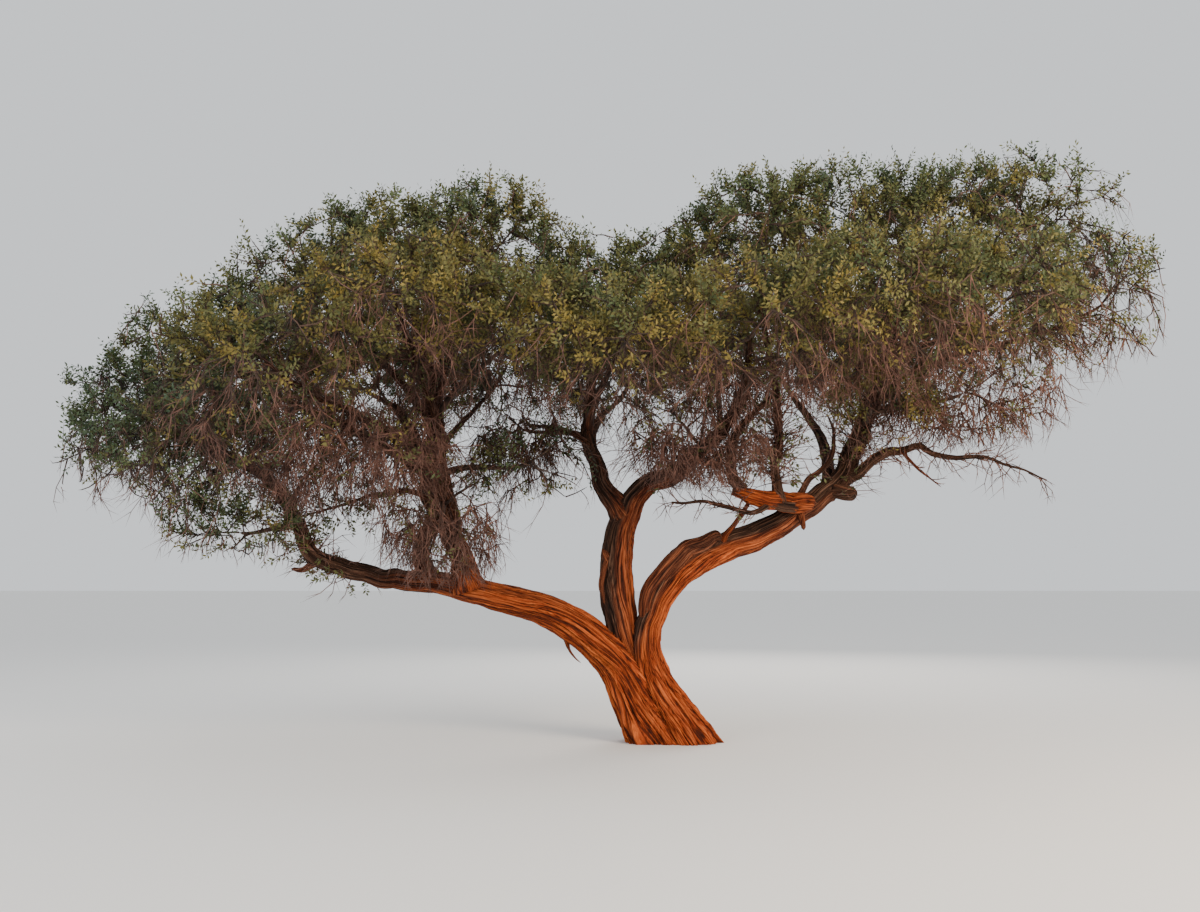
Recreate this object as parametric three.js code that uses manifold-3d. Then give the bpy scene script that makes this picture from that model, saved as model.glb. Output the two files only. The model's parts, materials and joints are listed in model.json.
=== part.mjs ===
// An old acacia of dry country. One short leaning trunk forks low into three stems: a long bough that
// sweeps out to the left, an upright centre stem that divides in two, and a heavy bough that climbs to the
// right. They carry a broad, flat-topped crown in two lobes, with bare twigs that hang below the green.
// The frame: +Z is up and the ground is z = 0. The origin is the middle of the trunk's foot. +X is to the
// right as the tree is seen from its front, and +Y points to the back.

import * as THREE from "three";
import { mergeVertices } from "three/addons/utils/BufferGeometryUtils.js";
import Module from "manifold-3d";

const wasm = await Module();
wasm.setup();

// Driving dimensions, in millimetres.
const CREST_HEIGHT = 6140;
const FIT_GAP = 0.3;
const CORNER_SIZE = 0.001;

// The layout below is in metres of the tree as measured, where the crest is at 6.14 m.
const METRE = CREST_HEIGHT / 6.14;

// How limbs are made. A limb's foot has a share of its carrier's radius, and a stem with no bough has a
// thinner foot.
const LIMB = {
  ringStep: 0.42,
  sides: { fewest: 6, most: 12, atNothing: 5, perMetre: 36 },
  footShare: 0.62,
  stemShare: 0.7,
  stemTipRadius: 0.014,
  stemSides: 5,
  stemRingStep: 0.45,
};

// How a bough or a stem reaches a mass: it sets out partly along its carrier and comes in from below.
const REACH = { along: 0.45, across: 0.75, rise: 0.35, startPull: 0.36, endPull: 0.3 };

// How twigs grow. The way back along a twig to its stem counts as cost, so that twigs branch and don't
// string out one after another.
const TWIG = {
  radius: 0.019,
  sides: 3,
  rings: 2,
  shortest: 0.2,
  stemKnots: 7,
  stemKnotPath: 0.1,
  knots: [0.35, 0.6, 0.85],
  knotTaper: 0.7,
  checks: [0.35, 0.5, 0.65, 0.8, 0.9, 1],
  shareOfKnot: 0.8,
  pathCost: 0.35,
  onward: 0.6,
  startPull: 0.35,
  tipReach: [0.6, 0.85],
  bareTipReach: 0.95,
};

// One blade stands for a spray of leaves. Blades of one mass keep their middles apart.
const SPRAY = {
  length: [0.5, 0.7],
  width: 0.55,
  thickness: 0.03,
  wanted: 0.63,
  apart: 0.47,
  tries: 14,
  crowding: 0.25,
  roots: [0.3, 0.45, 0.6, 0.75, 0.9],
};

// How each kind of mass is filled: twigs and sprays tried per square metre of a mass's mean side, and how
// far a twig's end lifts or hangs.
const KINDS = {
  leafy: { twigs: 6, sprays: 18, lift: 0.2 },
  mixed: { twigs: 13, sprays: 12, lift: -0.05 },
  bare: { twigs: 40, sprays: 0, armShare: 0.35, lift: -0.35 },
};

// A mass's space ends a little outside its ellipsoid, stays apart from the next mass's, and keeps off limbs.
// Where another mass is nearer, its edge is searched for inward by steps, down to the least share.
const SPACE = {
  raggedEdge: 1.1,
  betweenMasses: 0.035,
  offLimbs: 0.012,
  least: 0.3,
  inwardStep: 0.05,
};

// Joined twigs and blades are smoothed this much, and a whole mass this much, in millimetres.
const SMOOTHING = { twigs: 3, mass: 0.05 };

// Each mass has its own stream of random numbers, a stride apart.
const SEED = 41;
const SEED_STRIDE = 97;

// The three main lines, from under the ground through the trunk to their tips: x, y, z and radius in metres.
const LEFT_LINE = [
  [-0.02, 0, -0.2, 0.36],
  [-0.33, -0.02, 0.42, 0.26],
  [-0.55, -0.03, 0.82, 0.205],
  [-0.92, -0.05, 1.15, 0.18],
  [-1.3, -0.1, 1.33, 0.155],
  [-1.75, -0.15, 1.45, 0.145],
  [-2.4, -0.2, 1.6, 0.11],
  [-3.0, -0.35, 1.66, 0.09],
  [-3.5, -0.45, 1.85, 0.08],
  [-3.68, -0.5, 2.2, 0.07],
  [-3.95, -0.55, 2.6, 0.06],
  [-4.6, -0.4, 2.95, 0.045],
  [-5.1, -0.3, 3.15, 0.02],
];
const CENTRE_LINE = [
  [0.12, 0.14, -0.2, 0.33],
  [-0.25, 0.1, 0.45, 0.24],
  [-0.4, 0.07, 0.95, 0.16],
  [-0.49, 0.06, 1.5, 0.175],
  [-0.49, 0.1, 1.95, 0.17],
  [-0.41, 0.1, 2.3, 0.145],
  [-0.2, 0.02, 2.58, 0.115],
  [0.1, -0.15, 2.75, 0.1],
  [0.45, -0.4, 3.0, 0.08],
  [0.7, -0.95, 3.4, 0.06],
  [0.68, -1.6, 3.8, 0.02],
];
const RIGHT_LINE = [
  [0.3, -0.03, -0.2, 0.33],
  [-0.06, 0, 0.42, 0.25],
  [-0.2, 0, 0.85, 0.165],
  [-0.15, 0, 1.25, 0.135],
  [0.06, 0, 1.62, 0.16],
  [0.42, 0.05, 1.88, 0.155],
  [0.9, 0.1, 2.08, 0.14],
  [1.42, 0.15, 2.33, 0.13],
  [1.85, 0.2, 2.65, 0.115],
  [2.02, 0.22, 3.05, 0.1],
  [2.2, 0.22, 3.45, 0.09],
  [2.45, 0.25, 4.3, 0.06],
  [2.1, 0.3, 5.1, 0.02],
];

// Limbs that leave another line at a waypoint number of it. Each has the radius of its foot.
const SIDE_LIMBS = {
  left_rise_front: {
    from: ["left_line", 5.4],
    points: [[-2.15, -0.2, 2.05, 0.11], [-2.33, -0.3, 2.7, 0.095], [-2.35, -0.3, 3.2, 0.085],
      [-2.5, -0.2, 4.0, 0.06], [-2.75, 0, 4.85, 0.02]],
    foot: 0.12,
  },
  left_rise_back: {
    from: ["left_line", 6.0],
    points: [[-2.54, 0.1, 1.9, 0.085], [-2.45, 0.25, 2.3, 0.08], [-2.65, 0.75, 3.0, 0.068],
      [-3.0, 1.35, 3.55, 0.05], [-3.5, 2.0, 3.9, 0.02]],
    foot: 0.09,
  },
  centre_left_prong: {
    from: ["centre_line", 4.9],
    points: [[-0.68, 0.12, 2.72, 0.088], [-0.8, 0.15, 3.1, 0.075], [-0.75, 0.3, 3.75, 0.055],
      [-0.65, 0.45, 4.5, 0.02]],
    foot: 0.1,
  },
  return_branch: {
    from: ["right_line", 7.3],
    points: [[1.1, -0.25, 2.41, 0.07], [0.78, -0.4, 2.48, 0.065], [0.62, -0.55, 2.7, 0.055],
      [0.66, -0.75, 3.05, 0.04], [1.0, -0.9, 3.4, 0.018]],
    foot: 0.078,
  },
  return_riser: {
    from: ["return_branch", 0.9],
    points: [[1.1, -0.3, 2.75, 0.05], [1.13, -0.3, 3.1, 0.045], [1.1, -0.1, 3.9, 0.038],
      [0.95, 0.15, 4.9, 0.018]],
    foot: 0.052,
  },
  dead_branch: {
    from: ["return_branch", 1.05],
    points: [[0.84, -0.47, 2.29, 0.028], [0.47, -0.52, 2.37, 0.022], [0.02, -0.7, 2.37, 0.01]],
    foot: 0.032,
  },
  bare_branch: {
    from: ["right_line", 8.0],
    points: [[2.25, 0.05, 2.87, 0.052], [2.6, 0, 3.0, 0.036], [3.0, 0, 2.88, 0.027],
      [3.38, 0, 2.87, 0.019], [3.95, 0, 2.65, 0.008]],
    foot: 0.065,
  },
};

// The masses of foliage and of bare twigs, with centre and half size in metres. A mass stands at the end of a
// line, searched from a waypoint number on, or its stem leaves a line from a waypoint number. With a bough,
// the limb of that name goes up to the mass's edge and the stem goes on from there.
const MASSES = {
  left_tip_foliage: {
    centre: [-5.4, -0.3, 3.1], half: [1.12, 1.2, 0.68],
    endOf: ["left_line", 10],
  },
  left_low_foliage: {
    centre: [-4.35, -1.2, 2.8], half: [0.95, 0.85, 0.55],
    from: ["left_line", 10.2], kind: "mixed",
  },
  low_leafy_branch: {
    centre: [-4.2, -0.65, 2.08], half: [0.75, 0.5, 0.3],
    from: ["left_line", 8.8], kind: "mixed",
  },
  left_shoulder_foliage: {
    centre: [-4.75, 0.1, 4], half: [1, 1.25, 0.62],
    from: ["left_rise_front", 1.7], bough: "left_west_bough",
  },
  left_brow_foliage: {
    centre: [-3.75, 0.2, 4.75], half: [0.95, 1.25, 0.66],
    from: ["left_rise_front", 2.8], bough: "left_brow_bough",
  },
  left_front_foliage: {
    centre: [-3.7, -1.75, 3.6], half: [1, 1.15, 0.68],
    from: ["left_rise_front", 2.0], bough: "left_front_bough",
  },
  left_top_foliage: {
    centre: [-2.75, 0.1, 5], half: [0.9, 1.25, 0.68],
    endOf: ["left_rise_front", 3],
  },
  left_gold_foliage: {
    centre: [-2.55, -1.65, 4.2], half: [0.85, 1.1, 0.6],
    from: ["left_rise_front", 2.9], bough: "left_gold_bough",
  },
  left_crest_foliage: {
    centre: [-1.8, 0.1, 5.1], half: [0.75, 1.2, 0.8],
    from: ["left_rise_front", 3.2], bough: "left_east_bough",
  },
  left_inner_foliage: {
    centre: [-1.45, -1.35, 3.95], half: [0.75, 1.1, 0.66],
    from: ["left_rise_front", 3.0],
  },
  left_back_foliage: {
    centre: [-3.5, 2.3, 4], half: [1.2, 1.25, 0.8],
    endOf: ["left_rise_back", 3],
  },
  left_rear_foliage: {
    centre: [-1.85, 2.4, 4.3], half: [1.1, 1.25, 0.8],
    from: ["left_rise_back", 2.6], bough: "left_rear_bough",
  },
  left_hanging_twigs: {
    centre: [-2.95, -1.15, 3.05], half: [0.85, 0.7, 0.62],
    from: ["left_rise_front", 2.3], kind: "bare",
  },
  left_low_twigs: {
    centre: [-2.2, -0.75, 2.25], half: [0.6, 0.4, 0.6],
    from: ["left_rise_front", 1.5], kind: "bare",
  },
  left_wisp_foliage: {
    centre: [-1.4, -0.3, 2.8], half: [0.75, 0.55, 0.42],
    from: ["left_rise_front", 1.9], kind: "mixed",
  },
  centre_top_foliage: {
    centre: [-0.65, 0.5, 4.65], half: [0.72, 1.2, 0.75],
    endOf: ["centre_left_prong", 2],
  },
  centre_front_foliage: {
    centre: [-0.5, -1.75, 3.75], half: [0.8, 1.15, 0.64],
    from: ["centre_left_prong", 2.1], bough: "centre_front_bough",
  },
  centre_back_foliage: {
    centre: [-0.3, 2.4, 4.1], half: [1.1, 1.15, 0.8],
    from: ["centre_left_prong", 1.6], bough: "centre_back_bough",
  },
  centre_dead_twigs: {
    centre: [-1.5, 0.1, 3.2], half: [0.5, 0.45, 0.3],
    from: ["centre_left_prong", 2.0], kind: "bare",
  },
  centre_right_foliage: {
    centre: [0.3, 0.3, 4.6], half: [0.72, 1.1, 0.76],
    from: ["centre_line", 8.2],
  },
  centre_gold_foliage: {
    centre: [0.65, -1.95, 3.85], half: [0.85, 1.1, 0.68],
    endOf: ["centre_line", 9],
  },
  centre_hanging_twigs: {
    centre: [0.3, -0.85, 3], half: [0.7, 0.55, 0.45],
    from: ["centre_line", 7.6], kind: "bare",
  },
  right_crest_foliage: {
    centre: [0.95, 0.2, 5.25], half: [0.76, 1.15, 0.78],
    endOf: ["return_riser", 3],
  },
  right_top_foliage: {
    centre: [2, 0.3, 5.38], half: [0.82, 1.25, 0.74],
    endOf: ["right_line", 11],
  },
  right_high_foliage: {
    centre: [3.1, 0.3, 5.36], half: [0.82, 1.25, 0.74],
    from: ["right_line", 10.8], bough: "right_high_bough",
  },
  right_brow_foliage: {
    centre: [4.05, 0.2, 5.4], half: [0.84, 1.05, 0.82],
    from: ["right_line", 10.5], bough: "right_brow_bough",
  },
  right_tip_foliage: {
    centre: [4.6, 0, 4.5], half: [0.92, 1.05, 0.68],
    from: ["right_line", 10.2], bough: "right_east_bough", kind: "mixed",
  },
  right_front_foliage: {
    centre: [1.9, -1.85, 4.1], half: [0.9, 1.15, 0.75],
    from: ["right_line", 10.0], bough: "right_front_bough",
  },
  right_fore_foliage: {
    centre: [3.1, -1.35, 4.2], half: [0.85, 1.15, 0.7],
    from: ["right_line", 10.4],
  },
  right_inner_foliage: {
    centre: [2.05, -0.45, 3.35], half: [0.45, 0.5, 0.5],
    from: ["right_line", 9.5],
  },
  right_hanging_twigs: {
    centre: [3.1, -0.1, 3.55], half: [0.95, 0.8, 0.5],
    from: ["right_line", 9.8], kind: "bare",
  },
  right_back_foliage: {
    centre: [1.5, 2.4, 4.4], half: [1.1, 1.25, 0.8],
    from: ["right_line", 7.6], bough: "right_back_bough",
  },
  right_rear_foliage: {
    centre: [3.1, 2.1, 4.4], half: [1.15, 1.15, 0.8],
    from: ["right_line", 10.1],
  },
};

// Colours and finish of bark, leaves and bare twigs.
const BARK_FINISH = { color: 0x8a4a2b, roughness: 0.95, metalness: 0 };
const LEAF_FINISH = { color: 0x5f6b35, roughness: 0.8, metalness: 0 };
const BARE_FINISH = { color: 0x6e4a3d, roughness: 0.9, metalness: 0 };

// A repeatable stream of numbers from 0 to 1.
function seededRandom(seed) {
  let state = seed >>> 0;
  return () => {
    state = (state + 0x6d2b79f5) >>> 0;
    let mixed = Math.imul(state ^ (state >>> 15), state | 1);
    mixed ^= mixed + Math.imul(mixed ^ (mixed >>> 7), mixed | 61);
    return ((mixed ^ (mixed >>> 14)) >>> 0) / 4294967296;
  };
}

const { lerp, clamp } = THREE.MathUtils;
const vector = ([x, y, z]) => new THREE.Vector3(x, y, z);

// A tapering line through waypoints. Places on it are waypoint numbers, with parts between them.
class Line {
  constructor(waypoints) {
    this.last = waypoints.length - 1;
    this.curve = new THREE.CatmullRomCurve3(waypoints.map(vector), false, "catmullrom", 0.5);
    this.radii = waypoints.map((w) => w[3]);
  }

  point(place) {
    return this.curve.getPoint(place / this.last);
  }

  tangent(place) {
    return this.curve.getTangent(clamp(place / this.last, 0.001, 0.999));
  }

  radius(place) {
    const whole = Math.min(Math.floor(place), this.last - 1);
    return lerp(this.radii[whole], this.radii[whole + 1], place - whole);
  }
}

// The line of a bough or a stem from a place on its carrier to a mass's centre.
class Reach {
  constructor(carrier, place, target, footRadius, tipRadius) {
    const start = carrier.point(place);
    const across = target.clone().sub(start);
    const span = across.length();
    across.normalize();
    const along = carrier.tangent(place).multiplyScalar(REACH.along);
    const leave = along.addScaledVector(across, REACH.across).normalize();
    const arrive = across.clone().add(new THREE.Vector3(0, 0, REACH.rise)).normalize();
    this.last = 1;
    this.curve = new THREE.CubicBezierCurve3(
      start,
      start.clone().addScaledVector(leave, REACH.startPull * span),
      target.clone().addScaledVector(arrive, -REACH.endPull * span),
      target,
    );
    this.footRadius = footRadius;
    this.tipRadius = tipRadius;
  }

  point(place) {
    return this.curve.getPoint(place);
  }

  tangent(place) {
    return this.curve.getTangent(place);
  }

  radius(place) {
    return lerp(this.footRadius, this.tipRadius, place);
  }
}

// Cross directions that follow a line's bends without twisting about it.
function framesAlong(line, places) {
  const first = line.tangent(places[0]);
  const guide = vector(Math.abs(first.y) < 0.8 ? [0, 1, 0] : [1, 0, 0]);
  const across = guide.clone().cross(first).normalize();
  return places.map((place) => {
    const along = line.tangent(place);
    across.addScaledVector(along, -across.dot(along)).normalize();
    return {
      centre: line.point(place),
      across: across.clone(),
      beside: across.clone().cross(along),
      radius: line.radius(place),
    };
  });
}

// A closed geometry as a solid, with the corners that lie nearer together than a distance made one.
function solidOf(geometry, nearness = 1e-6) {
  const bare = geometry.clone();
  bare.deleteAttribute("normal");
  bare.deleteAttribute("uv");
  const merged = mergeVertices(bare, nearness);
  return new wasm.Manifold(new wasm.Mesh({
    numProp: 3,
    vertProperties: merged.attributes.position.array,
    triVerts: new Uint32Array(merged.index.array),
  }));
}

// Even places from one place of a line to another.
function evenPlaces(from, to, steps) {
  return Array.from({ length: steps + 1 }, (_, i) => from + ((to - from) * i) / steps);
}

// Bends a unit cylinder or cone, which stands along its own Y, so that its rings stand at places of a line.
// grow widens it.
function bent(geometry, line, places, grow = 0) {
  const frames = framesAlong(line, places);
  const rings = places.length - 1;
  const position = geometry.attributes.position;
  for (let i = 0; i < position.count; i++) {
    const frame = frames[Math.round((position.getY(i) + 0.5) * rings)];
    const size = frame.radius + grow;
    const at = frame.centre.clone()
      .addScaledVector(frame.across, position.getX(i) * size)
      .addScaledVector(frame.beside, position.getZ(i) * size)
      .multiplyScalar(METRE);
    position.setXYZ(i, at.x, at.y, at.z);
  }
  return solidOf(geometry);
}

// The length of a stretch of a line, in metres.
function stretchLength(line, from, to) {
  const steps = 16;
  const points = evenPlaces(from, to, steps).map((place) => line.point(place));
  return points.slice(1).reduce((total, point, i) => total + point.distanceTo(points[i]), 0);
}

// How many even steps of about a given length a stretch takes, with two at least.
function stepsIn(line, from, to, step) {
  return Math.max(2, Math.round(stretchLength(line, from, to) / step));
}

// A step along a line that is one fitting gap long.
function gapStep(line, place) {
  const small = 0.01;
  const near = Math.min(place, line.last - small);
  return (small * (FIT_GAP / METRE)) / line.point(near).distanceTo(line.point(near + small));
}

// A thick limb is rounder, with more sides, than a thin one. grow widens and lengthens it.
function limbSolid(line, from, to, grow = 0) {
  const rings = stepsIn(line, from, to, LIMB.ringStep);
  const { fewest, most, atNothing, perMetre } = LIMB.sides;
  const sides = Math.round(clamp(atNothing + perMetre * line.radius(from), fewest, most));
  const places = evenPlaces(from, to, rings);
  if (grow > 0) {
    places[0] = Math.max(0, from - gapStep(line, from));
    places[rings] = Math.min(line.last, to + gapStep(line, to));
  }
  return bent(new THREE.CylinderGeometry(1, 1, 1, sides, rings), line, places, grow);
}

// Every line of the tree by name.
const lines = {
  left_line: new Line(LEFT_LINE),
  centre_line: new Line(CENTRE_LINE),
  right_line: new Line(RIGHT_LINE),
};
for (const [name, side] of Object.entries(SIDE_LIMBS)) {
  const [carrier, place] = side.from;
  const start = lines[carrier].point(place);
  lines[name] = new Line([[start.x, start.y, start.z, side.foot], ...side.points]);
}

const masses = Object.entries(MASSES).map(([name, given], index) => ({
  kind: "leafy",
  ...given,
  name,
  index,
  centre: vector(given.centre),
  half: vector(given.half),
}));

// How far out a point is in a mass's ellipsoid: 0 at its centre and 1 at its outside.
function shareOfReach(mass, point) {
  return point.clone().sub(mass.centre).divide(mass.half).length();
}

// A mass's own space is its ellipsoid with a ragged edge, where that is nearer than any other mass's.
function inSpace(mass, point) {
  const own = shareOfReach(mass, point);
  return own <= SPACE.raggedEdge
    && masses.every((other) => other === mass || own + SPACE.betweenMasses < shareOfReach(other, point));
}

// The place where a line enters a mass's space, searched from a place on.
function entryPlace(line, mass, from) {
  const steps = 200;
  const inside = evenPlaces(from, line.last, steps).find((place) => inSpace(mass, line.point(place)));
  return inside ?? lerp(line.last, from, 0.4);
}

// The limbs, by name, as a stretch of a line from one place to another. Each mass's stem goes on from a
// limb's tip, from its own bough's tip, or from the side of its carrier. A bough takes at least FIRST_ENTRY
// of its line.
const FIRST_ENTRY = 0.2;
const stretches = {};
for (const mass of masses) {
  if (mass.endOf) {
    const [name, place] = mass.endOf;
    mass.line = lines[name];
    mass.entry = entryPlace(mass.line, mass, place);
    mass.stemFrom = mass.entry;
    continue;
  }
  const [name, place] = mass.from;
  const foot = LIMB.footShare * lines[name].radius(place) * (mass.bough ? 1 : LIMB.stemShare);
  mass.line = new Reach(lines[name], place, mass.centre, foot, LIMB.stemTipRadius);
  mass.entry = entryPlace(mass.line, mass, FIRST_ENTRY);
  mass.stemFrom = mass.bough ? mass.entry : 0;
  if (mass.bough) {
    lines[mass.bough] = mass.line;
    stretches[mass.bough] = { line: mass.bough, from: 0, to: mass.entry };
  }
}

// Where a line's limb ends: at the mass that stands on its tip, or at the tip itself.
function endOf(name) {
  return masses.find((mass) => mass.endOf && mass.endOf[0] === name)?.entry ?? lines[name].last;
}

// Where the trunk and the long lines are divided into limbs, as waypoint numbers.
const LEFT_FORK = 2.75;
const LEFT_BEND = 6.6;
const CENTRE_FORK = 2.4;
const CENTRE_TOP = 5.2;
const RIGHT_FORK = 2.6;
const RIGHT_BEND = 8.35;
Object.assign(stretches, {
  left_bough: { line: "left_line", from: LEFT_FORK, to: LEFT_BEND },
  left_low_bough: { line: "left_line", from: LEFT_BEND, to: endOf("left_line") },
  centre_stem: { line: "centre_line", from: CENTRE_FORK, to: CENTRE_TOP },
  centre_right_prong: { line: "centre_line", from: CENTRE_TOP, to: endOf("centre_line") },
  right_bough: { line: "right_line", from: RIGHT_FORK, to: RIGHT_BEND },
  right_upper_bough: { line: "right_line", from: RIGHT_BEND, to: endOf("right_line") },
});
for (const name of Object.keys(SIDE_LIMBS)) {
  stretches[name] = { line: name, from: 0, to: endOf(name) };
}

// The trunk is the three main lines grown together, cut flat at the ground.
const TRUNK_PARTS = { left_line: LEFT_FORK, centre_line: CENTRE_FORK, right_line: RIGHT_FORK };

function trunkSolid(grow = 0) {
  const parts = Object.entries(TRUNK_PARTS).map(([name, to]) => limbSolid(lines[name], 0, to, grow));
  return wasm.Manifold.union(parts).trimByPlane([0, 0, 1], 0);
}

// The largest body of a solid, which leaves out crumbs and sealed hollows.
function largest(solid) {
  return solid.decompose().sort((a, b) => b.volume() - a.volume())[0];
}

// The start of what goes on from a place: one gap further where a limb ends there, or a side limb's foot.
function startPlace(line, from) {
  return from > 0 ? from + gapStep(line, from) : 0;
}

const solids = { trunk: trunkSolid() };
const grown = { trunk: trunkSolid(FIT_GAP / METRE) };
for (const [name, stretch] of Object.entries(stretches)) {
  const line = lines[stretch.line];
  const start = startPlace(line, stretch.from);
  stretch.footRadius = line.radius(stretch.from);
  stretch.solid = limbSolid(line, start, stretch.to);
  grown[name] = limbSolid(line, start, stretch.to, FIT_GAP / METRE);
}

// Thicker limbs come first, and each later one is cut back to clear them.
const order = Object.entries(stretches).sort(([, a], [, b]) => b.footRadius - a.footRadius);
const before = [grown.trunk];
for (const [name, stretch] of order) {
  solids[name] = largest(stretch.solid.subtract(wasm.Manifold.union(before)));
  before.push(grown[name]);
}

// Short straight lengths of every limb and stem, which a twig or a leaf of another piece must stay clear of.
const CLEAR_STEP = 0.15;
const lengths = [];
function addLengths(owner, line, from, to) {
  const places = evenPlaces(from, to, stepsIn(line, from, to, CLEAR_STEP));
  for (let i = 1; i < places.length; i++) {
    const radius = Math.max(line.radius(places[i - 1]), line.radius(places[i]));
    lengths.push({ owner, radius, span: new THREE.Line3(line.point(places[i - 1]), line.point(places[i])) });
  }
}
for (const [name, to] of Object.entries(TRUNK_PARTS)) {
  addLengths("trunk", lines[name], 0, to);
}
for (const [name, stretch] of Object.entries(stretches)) {
  addLengths(name, lines[stretch.line], stretch.from, stretch.to);
}
for (const mass of masses) {
  addLengths(mass.name, mass.line, mass.stemFrom, mass.line.last);
}

// Whether a ball about a point lies in a mass's space and off every limb and every other mass's stem.
function isClear(mass, point, radius) {
  const nearest = new THREE.Vector3();
  return inSpace(mass, point) && lengths.every((length) =>
    length.owner === mass.name
    || length.span.closestPointToPoint(point, true, nearest).distanceTo(point)
      > length.radius + radius + SPACE.offLimbs);
}

const GOLDEN_ANGLE = Math.PI * (3 - Math.sqrt(5));

// How many of something a mass gets, at a number per square metre of the mean of its three sides.
function countFor(mass, perSquareMetre) {
  const { x, y, z } = mass.half;
  return Math.round((perSquareMetre * (x * y + y * z + z * x)) / 3);
}

// The point in a direction from a mass's centre that is a share of the way to the edge of its own space.
function outward(mass, direction, share) {
  const at = (reach) => direction.clone().multiplyScalar(reach).multiply(mass.half).add(mass.centre);
  let reach = 1;
  while (reach > SPACE.least && !inSpace(mass, at(reach))) {
    reach -= SPACE.inwardStep;
  }
  return at(share * reach);
}

// Direction k of many: at a height from -1 to 1, turned by the golden angle each time, and drawn in.
function turnedDirection(k, height, share) {
  const wide = Math.sqrt(1 - height * height) * share;
  return new THREE.Vector3(Math.cos(k * GOLDEN_ANGLE) * wide, Math.sin(k * GOLDEN_ANGLE) * wide, height);
}

// Direction k of count, spread evenly over all sides.
function evenDirection(k, count) {
  return turnedDirection(k, 1 - (2 * (k + 0.5)) / count, 1);
}

// Direction k of a bare mass: arms go up and out first, and the rest hang down from them.
function hangingDirection(k, count, random) {
  const isArm = k < KINDS.bare.armShare * count;
  const height = isArm ? lerp(0.35, 0.65, random()) : lerp(-0.45, -0.95, random());
  return turnedDirection(k, height, lerp(0.35, 1, Math.sqrt(random())));
}

// A twig's line from a knot to its tip. It sets out partly along what it leaves, and its end lifts or hangs.
function twigLine(knot, tip, radius, lift) {
  const span = knot.at.distanceTo(tip);
  const out = tip.clone().sub(knot.at).normalize().addScaledVector(knot.along, TWIG.onward).normalize();
  const curve = new THREE.CubicBezierCurve3(
    knot.at,
    knot.at.clone().addScaledVector(out, TWIG.startPull * span),
    tip.clone().add(new THREE.Vector3(0, 0, -lift * span)),
    tip,
  );
  return {
    span,
    last: 1,
    point: (place) => curve.getPoint(place),
    tangent: (place) => curve.getTangent(place),
    radius: () => radius,
  };
}

// The points of a mass's stem that twigs may leave.
function stemKnots(mass) {
  const places = evenPlaces(mass.entry, mass.line.last, TWIG.stemKnots).slice(1);
  return places.map((place, i) => ({
    at: mass.line.point(place),
    along: mass.line.tangent(place),
    path: TWIG.stemKnotPath * (i + 1),
    radius: mass.line.radius(place),
  }));
}

// Twigs of a mass: each leaves the nearest knot of its stem or of a twig before it.
function growTwigs(mass, random) {
  const rule = KINDS[mass.kind];
  const count = countFor(mass, rule.twigs);
  const knots = stemKnots(mass);
  const twigs = [];
  for (let k = 0; k < count; k++) {
    const tip = mass.kind === "bare"
      ? outward(mass, hangingDirection(k, count, random), TWIG.bareTipReach)
      : outward(mass, evenDirection(k, count), lerp(...TWIG.tipReach, random()));
    const cost = (knot) => knot.at.distanceTo(tip) + TWIG.pathCost * knot.path;
    const knot = knots.reduce((best, next) => (cost(next) < cost(best) ? next : best));
    const radius = Math.min(TWIG.radius, TWIG.shareOfKnot * knot.radius);
    const twig = twigLine(knot, tip, radius, rule.lift);
    const clear = TWIG.checks.every((place) => isClear(mass, twig.point(place), radius));
    if (twig.span < TWIG.shortest || !clear) {
      continue;
    }
    twigs.push(twig);
    for (const place of TWIG.knots) {
      knots.push({
        at: twig.point(place),
        along: twig.tangent(place),
        path: knot.path + place * twig.span,
        radius: radius * (1 - TWIG.knotTaper * place),
      });
    }
  }
  return twigs;
}

// A spray of leaves as one flat eight-sided blade that runs from a root on a twig toward a target.
function sprayBlade(root, target, random) {
  const ahead = target.clone().sub(root).normalize();
  const turn = new THREE.Vector3(random() - 0.5, random() - 0.5, random() - 0.5);
  const flat = turn.cross(ahead).normalize();
  const length = clamp(root.distanceTo(target), ...SPRAY.length);
  const half = new THREE.Vector3(SPRAY.width, length, SPRAY.thickness).multiplyScalar(0.5);
  const middle = root.clone().addScaledVector(ahead, half.y - TWIG.radius);
  return { ahead, flat, half, middle };
}

// Whether a blade lies inside its mass's space, off every limb and apart from the blades before it.
function bladeFits(mass, { ahead, flat, half, middle }, blades) {
  const corners = [[0, 1], [1, 0], [-1, 0], [0, 0.5], [0, 0]];
  const edges = [[0.5, 0.5], [-0.5, 0.5], [0.5, -0.5], [-0.5, -0.5]];
  const at = ([x, y]) => middle.clone().addScaledVector(flat, x * half.x).addScaledVector(ahead, y * half.y);
  return blades.every((other) => other.middle.distanceTo(middle) > SPRAY.apart)
    && [...corners, ...edges].every((spot) => isClear(mass, at(spot), half.z));
}

// A blade as a flattened octahedron that lies across its direction.
function bladeSolid({ ahead, flat, half, middle }) {
  const blade = new THREE.OctahedronGeometry(1, 0);
  const turned = new THREE.Matrix4().makeBasis(flat, ahead, flat.clone().cross(ahead));
  blade.scale(half.x, half.y, half.z);
  blade.applyMatrix4(turned.setPosition(middle));
  blade.scale(METRE, METRE, METRE);
  return solidOf(blade);
}

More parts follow.
